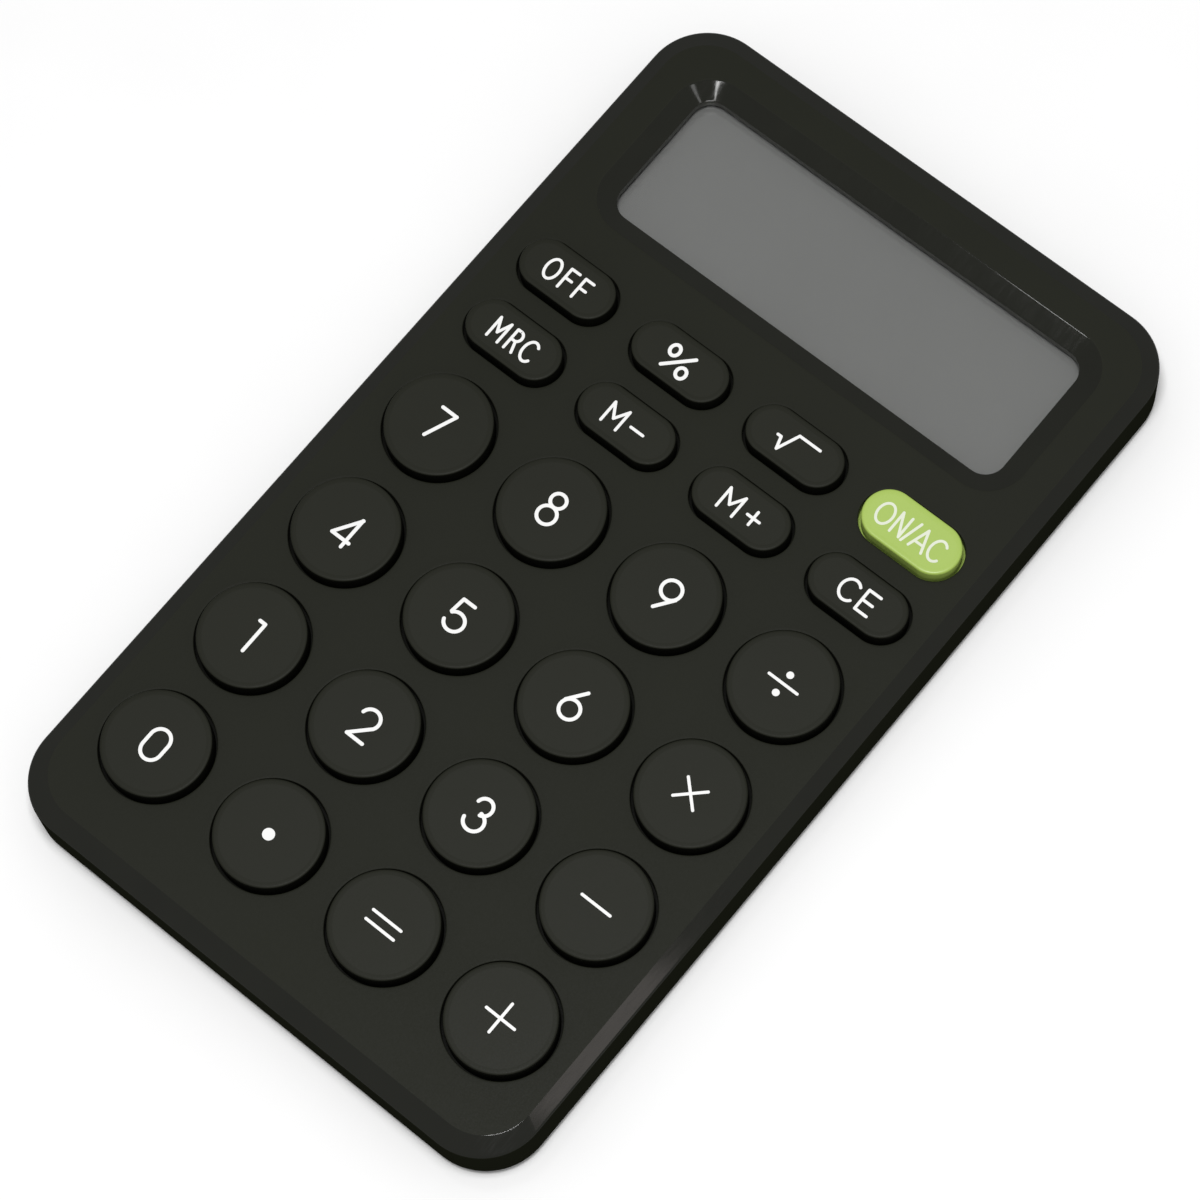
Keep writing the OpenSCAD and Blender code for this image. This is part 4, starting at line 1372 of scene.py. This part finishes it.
def bent_bar(radii: Place, heights: Place, turn: Place, centre: Place) -> np.ndarray:
    """Gives a bar bent round an upright axis, with flat ends.

    The section's corners stand at centre + r (cos a, sin a), for both radii and both heights,
    while a runs from the start to the end in steps of about 3 degrees. Each end closes in the section's middle.

    Args:
        radii: Its inner and outer radius.
        heights: Its lower and upper height.
        turn: Its start and its end, in degrees.
        centre: Where the axis stands.

    Returns:
        Rows (k, 4, 3).
    """
    a = np.radians(np.linspace(*turn, 2 + int((turn[1] - turn[0]) / 3)))
    (r0, r1), (z0, z1) = radii, heights
    r, z = np.array([r1, r1, r0, r0]), np.array([z0, z1, z1, z0])
    x, y = (middle + r * way(a)[:, None] for middle, way in zip(centre, (np.cos, np.sin)))
    rows = np.stack([x, y, np.broadcast_to(z, x.shape)], axis=-1)
    ends = rows.mean(axis=1, keepdims=True).repeat(4, axis=1)
    return np.concatenate([ends[:1], rows, ends[-1:]])


@dataclass
class BatteryDoor(Part):
    """The round door: lipped disc with a coin slot, a cup for the cell, and three lugs. It has its own body."""

    home = ("battery_door", "case_plastic", "battery_door")
    lip_t: float = 0.6
    floor_t: float = 0.9
    bore_r: float = 10.2
    plug_r: float = 11.1
    lug: tuple[float, float, float] = (12.0, 1.8, 24.0)
    slot: tuple[float, float, float] = (7.0, 1.1, 0.45)

    def build(self, palette: Palette) -> Piece:
        """Builds the door, closed all round.

        Args:
            palette: The finishes.

        Returns:
            The piece.
        """
        low, high = span("battery_door")
        back, top = low[2], high[2]
        door_r = (high[0] - low[0]) / 2
        slot_w, slot_l, slot_t = self.slot
        steps = Steps(24)
        slot = Outline.even(slot_w, slot_l, slot_l - 0.02, BAY)
        point, bore, plug, disc = (Outline.circle(r, BAY) for r in (0.0, self.bore_r, self.plug_r, door_r))
        floor, lip, deep = back + self.floor_t, back + self.lip_t, back + slot_t
        spots = (
            (point, floor), (bore, floor), (bore, top), (plug, top), (plug, lip), (disc, lip), (disc, back),
            (disc.grown(-0.5), back), (slot.grown(0.5), back), (slot, back), (slot, deep),
            (Outline.even(slot_w - slot_l, 0.0, 0.0, BAY), deep),
        )
        loops = [form.loop(z, steps) for form, z in spots]
        rounding = (0.1, 0.1, 0.1, 0.1, 0.08, 0.25, 0.0, 0.0, 0.12, 0.08)
        finish = (INSIDE,) * 5 + (FACE,) * 6
        shell = Shell().loft(loops, rounding, finish, steps=5)
        lug_r, lug_z, lug_turn = self.lug
        for i in range(3):
            middle = 90.0 + 120.0 * i
            turn = (middle - lug_turn / 2, middle + lug_turn / 2)
            shell.grid(bent_bar((self.plug_r - 0.3, lug_r), (lug_z, top), turn, BAY), INSIDE)
        return shell.build("battery_door_disc", [palette.back, palette.bevel, palette.inside])


@dataclass
class CaseScrews(Part):
    """Six pan-head screws with a cross recess and a coarse thread."""

    home = ("root", "screw_steel", "case_screws")
    head_r: float = 1.6
    head_t: float = 0.9
    root_r: float = 0.62
    thread: tuple[float, float] = (0.75, 0.6)
    cross: tuple[float, float, float] = (0.9, 0.2, 0.5)
    crown: tuple[tuple[float, float], ...] = ((1.6, 0.35), (1.3, 0.02), (1.05, 0.0))
    taper: tuple[float, float] = (0.6, 0.35)
    arc: int = 36

    def _cross(self, z: float, place: Place) -> np.ndarray:
        """Returns a loop round the cross, whose radius is the smaller of arm / cos a and half width / sin a."""
        arm, half = self.cross[:2]
        quarters = (np.arange(4) - 1)[:, None] * QUARTER
        a = (quarters + np.linspace(0.0, QUARTER, self.arc + 1)).reshape(-1)
        fold = np.abs((a + QUARTER / 2) % QUARTER - QUARTER / 2)
        r = np.minimum(arm / np.cos(fold), half / np.maximum(np.sin(fold), NEAR))
        return np.column_stack([place[0] + r * np.cos(a), place[1] + r * np.sin(a), np.full(len(a), z)])

    def _thread(self, low: float, high: float, place: Place) -> np.ndarray:
        """Gives the shank, which tapers near its tip and is closed at both ends.

        Its radius is root + depth * |2 f - 1|, where f is the part of z / pitch - a / turn past a whole number.

        Args:
            low: Where it starts, at the head.
            high: Its tip.
            place: Its axis.

        Returns:
            Rows (k, n, 3) from the tip down.
        """
        crest, pitch = self.thread
        rings, around = 1 + int((high - low) / pitch * 8), 24
        z = np.linspace(high, low, rings)[:, None]
        a = (np.arange(around) * 2 * math.pi / around)[None, :]
        share = (z / pitch - a / (2 * math.pi)) % 1.0
        taper_l, tip_share = self.taper
        taper = np.clip((high - z) / taper_l + tip_share, 0.0, 1.0)
        r = (self.root_r + (crest - self.root_r) * np.abs(2 * share - 1)) * taper
        rows = np.stack([place[0] + r * np.cos(a), place[1] + r * np.sin(a), z + 0 * a], axis=-1)
        ends = [np.broadcast_to(np.array([*place, end]), rows[:1].shape) for end in (high, low)]
        return np.concatenate([ends[0], rows, ends[1]])

    def build(self, palette: Palette) -> Piece:
        """Builds the six screws.

        Args:
            palette: The finishes.

        Returns:
            The piece.
        """
        base, tip = (corner[2] for corner in span("case_screws"))
        depth, steps, shell = self.cross[2], Steps(self.arc), Shell()
        spots = ((0.0, self.head_t), (self.head_r, self.head_t), *self.crown, (0.0, depth))
        for place in SCREWS:
            *head, end = (Outline.circle(r, place).loop(base + z, steps) for r, z in spots)
            loops = [*head, self._cross(base, place), self._cross(base + depth, place), end]
            shell.loft(loops, (0.08, 0.25, 0.12, 0.0, 0.02, 0.0), 0)
            shell.grid(self._thread(base + self.head_t - 0.1, tip, place))
        return shell.build("case_screw_set", [palette.steel])


@dataclass
class RubberFeet(Part):
    """Four round feet with softened edges and a shallow dish underneath."""

    home = ("root", "foot_rubber", "rubber_feet")
    radius: float = 3.0
    dish: tuple[float, float] = (2.1, 0.12)
    places: tuple[Place, ...] = ((27.0, 47.0), (27.0, -47.0), (-27.0, 47.0), (-27.0, -47.0))

    def build(self, palette: Palette) -> Piece:
        """Builds the feet.

        Args:
            palette: The finishes.

        Returns:
            The piece.
        """
        base, top = (corner[2] for corner in span("rubber_feet"))
        (dish_r, depth), radius, shell = self.dish, self.radius, Shell()
        profile = ((0.0, top), (radius, top), (radius, base), (dish_r, base), (0.0, base + depth))
        for place in self.places:
            shell.turned(profile, place, (0.0, 0.22, 0.5))
        return shell.build("rubber_foot_set", [palette.foot])


# ---------- keypad and coin cell ----------


@dataclass
class Keypad:
    """The silicone sheet: a flat skin with holes under the keys, and for each key a dome and a contact."""

    board_top: float = 3.7
    sheet_top: float = 4.2
    core_r: float = 2.2
    base: dict[KeyForm, float] = field(default_factory=lambda: {KeyForm.ROUND: 4.6, KeyForm.OBLONG: 3.4})
    wall: float = 0.6
    cavity_r: float = 1.9
    contact: tuple[float, float, float] = (1.6, 4.6, 4.95)
    dome_top: float = 5.6
    corner: float = 3.0

    def _places(self) -> list[list[tuple[str, Place, float]]]:
        """Returns each key's name, its centre and its dome's base radius, row by row."""
        rows = []
        for row in KEY_ROWS:
            middles = [tuple(sum(span(name))[:2] / 2) for name in row]
            rows.append([(name, middle, self.base[form_of(row)]) for name, middle in zip(row, middles)])
        return rows

    def build(self, palette: Palette) -> dict[str, Piece]:
        """Builds the sheet, the domes and the contacts.

        Args:
            palette: The finishes.

        Returns:
            The pieces by name.
        """
        low, high = span("keypad_sheet")
        rows = self._places()
        half = (high - low)[:2] / 2
        block = Outline.even(*half, self.corner, (0.0, (high[1] + low[1]) / 2))
        ys = [row[0][1][1] for row in rows]
        lines = [low[1], *((a + b) / 2 for a, b in zip(ys, ys[1:])), high[1]]
        pitch = rows[0][1][1][0] - rows[0][0][1][0]
        xs = [-block.half_w, -pitch, 0.0, pitch, block.half_w]
        cells, lap = [], 0.02
        for r, row in enumerate(rows):
            for c, (_, place, base) in enumerate(row):
                hole = Outline.circle(base - lap, place)
                drop = ((hole, self.sheet_top), (hole, self.board_top))
                cells.append(Cell(xs[c], xs[c + 1], lines[r], lines[r + 1], drop, (0.0, 0.0)))
        panel = Panel(block, cells, self.sheet_top, self.board_top, 10)
        shell = Shell()
        panel.add_to(shell)
        shell.loft([panel.rim(self.sheet_top), panel.rim(self.board_top)], [])
        made = {"keypad_skin": shell.build("keypad_skin", [palette.silicone])}
        for row in rows:
            for name, place, base in row:
                made[name + "_dome"] = self._dome(name, place, base, palette)
                made[name + "_contact"] = self._contact(name, place, palette)
        return made

    def _dome(self, name: str, place: Place, base: float, palette: Palette) -> Piece:
        """Builds one dome: foot, sloping flank and solid core, hollow under the flank.

        Args:
            name: The key above it.
            place: Its axis.
            base: The radius of its foot.
            palette: The finishes.

        Returns:
            The piece.
        """
        contact_top = self.contact[2]
        profile = (
            (0.0, self.dome_top), (self.core_r, self.dome_top), (self.core_r, contact_top + self.wall / 2),
            (base, self.sheet_top), (base, self.board_top), (base - self.wall, self.board_top),
            (base - self.wall, self.sheet_top - 0.1), (self.cavity_r, contact_top), (0.0, contact_top),
        )
        shell = Shell().turned(profile, place, (0.15, 0.3, 0.2, 0.0, 0.0, 0.2, 0.1))
        return shell.build(name + "_dome", [palette.silicone])

    def _contact(self, name: str, place: Place, palette: Palette) -> Piece:
        """Builds one carbon contact."""
        radius, low, high = self.contact
        shell = Shell().turned(((0.0, high), (radius, high), (radius, low), (0.0, low)), place, (0.0, 0.06))
        return shell.build(name + "_contact", [palette.carbon])

    def dress(self, made: dict[str, Piece]) -> None:
        """Fixes the skin and lets each contact ride on its key; the domes stay where they were built.

        Args:
            made: The pieces by name.
        """
        settle(made["keypad_skin"], "root", "keypad_silicone", "keypad_sheet")
        for row in self._places():
            for name, (x, y), _ in row:
                dome, contact = made[name + "_dome"], made[name + "_contact"]
                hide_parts("keypad_sheet")
                start, end = (x * MM, y * MM, self.sheet_top * MM), (x * MM, y * MM, self.contact[2] * MM)
                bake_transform(dome)
                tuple(start)
                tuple(end)
                LOG.info("%s: %d faces, between root and %s", dome.name, len(dome.data.polygons), name)
                settle(contact, name, "carbon_rubber", "carbon_contacts")


@dataclass
class ResinDrop(Part):
    """The drop of resin over the chip: a low cap whose edge is a little uneven, as a poured drop is."""

    home = ("root", "chip_resin", "chip_cover")
    waves: tuple[tuple[int, float], ...] = ((2, 0.02), (3, 0.015), (5, 0.008))
    fall: float = 2.2

    def build(self, palette: Palette) -> Piece:
        """Builds the drop.

        Its radius is R (1 - sum of w (1 + cos k (a + 1))), and it stands H (1 - s^fall) off the board,
        where s runs from 0 at its middle to 1 at its edge.

        Args:
            palette: The finishes.

        Returns:
            The piece.
        """
        low, high = span("chip_cover")
        centre, radius, depth = (high + low)[:2] / 2, (high[0] - low[0]) / 2, high[2] - low[2]
        around, rings = 72, 16
        a = np.arange(around) * 2 * math.pi / around
        r = radius * (1 - sum(w * (1 + np.cos(k * a + k)) for k, w in self.waves))
        s = np.sin(np.linspace(QUARTER, 0.0, rings))[:, None]
        z = high[2] - depth * (1 - s**self.fall) + 0 * a
        rows = np.stack([centre[0] + s * r * np.cos(a), centre[1] + s * r * np.sin(a), z], axis=-1)
        top = np.broadcast_to(np.array([*centre, high[2]]), rows[:1].shape)
        return Shell().grid(np.concatenate([top, rows])).build("chip_resin_drop", [palette.resin])


@dataclass
class CoinCell(Part):
    """The coin cell: a can with a turned-in rim, a plastic ring and a stepped lid."""

    home = ("root", "cell_steel", "coin_cell")
    rim: float = 1.2
    edge: float = 0.3
    step: tuple[float, float, float] = (1.3, 1.0, 0.06)
    ring: tuple[float, float] = (0.25, 0.32)

    def build(self, palette: Palette) -> Piece:
        """Builds the cell as one turned profile.

        Args:
            palette: The finishes.

        Returns:
            The piece.
        """
        low, high = span("coin_cell")
        radius, place = (high[0] - low[0]) / 2, tuple((high + low)[:2] / 2)
        base, top = low[2], high[2]
        (step_in, step_out, step_t), (ring_w, ring_t) = self.step, self.ring
        lid, can_top, lid_top, seal = radius - self.rim, top - self.edge, top - step_t, top - ring_t
        profile = (
            (0.0, top), (lid - step_in, top), (lid - step_out, lid_top), (lid, lid_top), (lid, seal),
            (lid + ring_w, seal), (lid + ring_w, can_top), (radius, can_top), (radius, base), (0.0, base),
        )
        rounding = (0.1, 0.1, 0.12, 0.05, 0.03, 0.05, 0.4, 0.35)
        shell = Shell().turned(profile, place, rounding, (0, 0, 0, 0, 1, 1, 0, 0, 0), 32)
        return shell.build("coin_cell_can", [palette.cell, palette.gasket])


# ---------- what stays as the CAD has it ----------


@dataclass(frozen=True)
class CarriedOver:
    """A CAD node that keeps its own shape and gets its finish here."""

    node: str
    material: Material

    def dress(self, nodes: dict[str, Piece]) -> None:
        """Gives the node its material in every slot."""
        obj = nodes[self.node]
        if not obj.data.materials:
            obj.data.materials.append(self.material)
        for i in range(len(obj.data.materials)):
            obj.data.materials[i] = self.material
        LOG.info("%s: kept, %s", self.node, self.material.name)


# ---------- room, lights and camera ----------


@dataclass
class Studio:
    """A pale floor, soft lights and the camera."""

    floor_half: float = 4000.0
    target: tuple[float, float, float] = (2.497, -2.795, 8.0)
    distance: float = 470.655
    azimuth: float = 48.532
    elevation: float = 69.744
    roll: float = -9.549
    lens: float = 129.345
    ambient: float = 0.45

    def floor(self) -> None:
        """Lays the floor at the height of the feet."""
        g = Graph("studio_floor")
        grain = g.noise(30.0, 3.0)
        colour = g.blend(g.spread(grain), (0.93, 0.93, 0.93), (0.95, 0.95, 0.95))
        inputs = {"Base Color": colour, "Roughness": 0.9, "Specular IOR Level": 0.1}
        material = g.close(g.node("BsdfPrincipled", inputs))
        steps = Steps(2)
        big = Outline.even(self.floor_half, self.floor_half, 10.0)
        middle = np.zeros_like(big.loop(0.0, steps))
        piece = Shell().loft([middle, big.loop(0.0, steps)], []).build("floor", [material])

    def lamp(
        self,
        name: str,
        place: tuple[float, float, float],
        size: tuple[float, float],
        watts: float,
        tint: Colour = (1.0, 1.0, 1.0),
    ) -> None:
        """Hangs one rectangular lamp that faces the origin.

        Args:
            name: The lamp's name.
            place: Where it hangs, in millimetres.
            size: Its width and height, in millimetres.
            watts: Its power.
            tint: Its colour.
        """
        data = bpy.data.lights.new(name, "AREA")
        data.shape, data.size, data.size_y, data.energy = "RECTANGLE", size[0] * MM, size[1] * MM, watts
        lamp = bpy.data.objects.new(name, data)
        data.color = tint
        lamp.location = Vector(place) * MM
        lamp.rotation_mode = "QUATERNION"
        lamp.rotation_quaternion = (-lamp.location).to_track_quat("-Z", "Y")
        bpy.context.scene.collection.objects.link(lamp)

    def lights(self) -> None:
        """Sets the lamps and the even light around them."""
        world = bpy.data.worlds.new("studio")
        world.use_nodes = True
        background = world.node_tree.nodes["Background"]
        background.inputs[0].default_value = (1.0, 1.0, 1.0, 1.0)
        background.inputs[1].default_value = self.ambient
        bpy.context.scene.world = world
        self.lamp("ceiling_light", (60.0, -60.0, 600.0), (130.0, 130.0), 2.35)
        self.lamp("right_card", (279.0, 58.0, 600.0), (50.0, 66.0), 0.016, tint=(1.0, 0.9, 0.87))
        self.lamp("window_strip", (-99.0, 25.0, 600.0), (24.0, 50.0), 0.11)
        self.lamp("small_card", (25.0, 130.0, 600.0), (24.0, 24.0), 0.008)

    def camera(self) -> None:
        """Places the camera.

        It looks along f = (-sin a cos e, cos a cos e, -sin e) at the target, and it is rolled about f,
        so that right = h cos r + u sin r, where h is level and u = h x f.
        """
        a, e, r = (math.radians(v) for v in (self.azimuth, self.elevation, self.roll))
        forward = Vector((-math.sin(a) * math.cos(e), math.cos(a) * math.cos(e), -math.sin(e)))
        level = forward.cross(Vector((0.0, 0.0, 1.0))).normalized()
        upright = level.cross(forward)
        right = level * math.cos(r) + upright * math.sin(r)
        up = upright * math.cos(r) - level * math.sin(r)
        data = bpy.data.cameras.new("camera")
        data.lens, data.sensor_width = self.lens, 36.0
        data.clip_start, data.clip_end = 0.01, 20.0
        data.dof.use_dof = False
        camera = bpy.data.objects.new("camera", data)
        where = Vector(self.target) * MM - forward * self.distance * MM
        turn = Matrix((right, up, -forward)).transposed().to_4x4()
        camera.matrix_world = Matrix.Translation(where) @ turn
        bpy.context.scene.collection.objects.link(camera)
        bpy.context.scene.camera = camera

    def build(self) -> None:
        """Builds the whole studio."""
        self.floor()
        self.lights()
        self.camera()
        bpy.context.scene.view_settings.view_transform = "Standard"


def main() -> None:
    """Builds every sub-assembly round the frame."""
    logging.basicConfig(level=logging.INFO, format="%(name)s: %(message)s")
    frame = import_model()
    Studio().build()
    palette = Palette()
    nodes = frame["nodes"]

    cover = FrontCover()
    cover.dress(cover.build(palette))
    for row in KEY_ROWS:
        for name in row:
            key = Key(name, form_of(row), green=name == "key_on")
            key.dress(key.build(palette))

    for part in (RearCover(), BatteryDoor(), CaseScrews(), RubberFeet(), Keypad(), CoinCell(), ResinDrop()):
        part.dress(part.build(palette))

    kept = {
        "display_window": palette.window,
        "window_tape": palette.tape,
        "front_polariser": palette.film,
        "front_glass": palette.glass,
        "rear_glass": palette.glass,
        "reflector": palette.reflector,
        "connector_strip": palette.stripe,
        "foam_pad": palette.foam,
        "circuit_board": palette.board,
        "chip_resistors": palette.resistor,
        "chip_capacitors": palette.capacitor,
        "negative_contact": palette.spring,
        "positive_contact": palette.spring,
    }
    for name, material in kept.items():
        CarriedOver(name, material).dress(nodes)


if __name__ == "__main__":
    main()
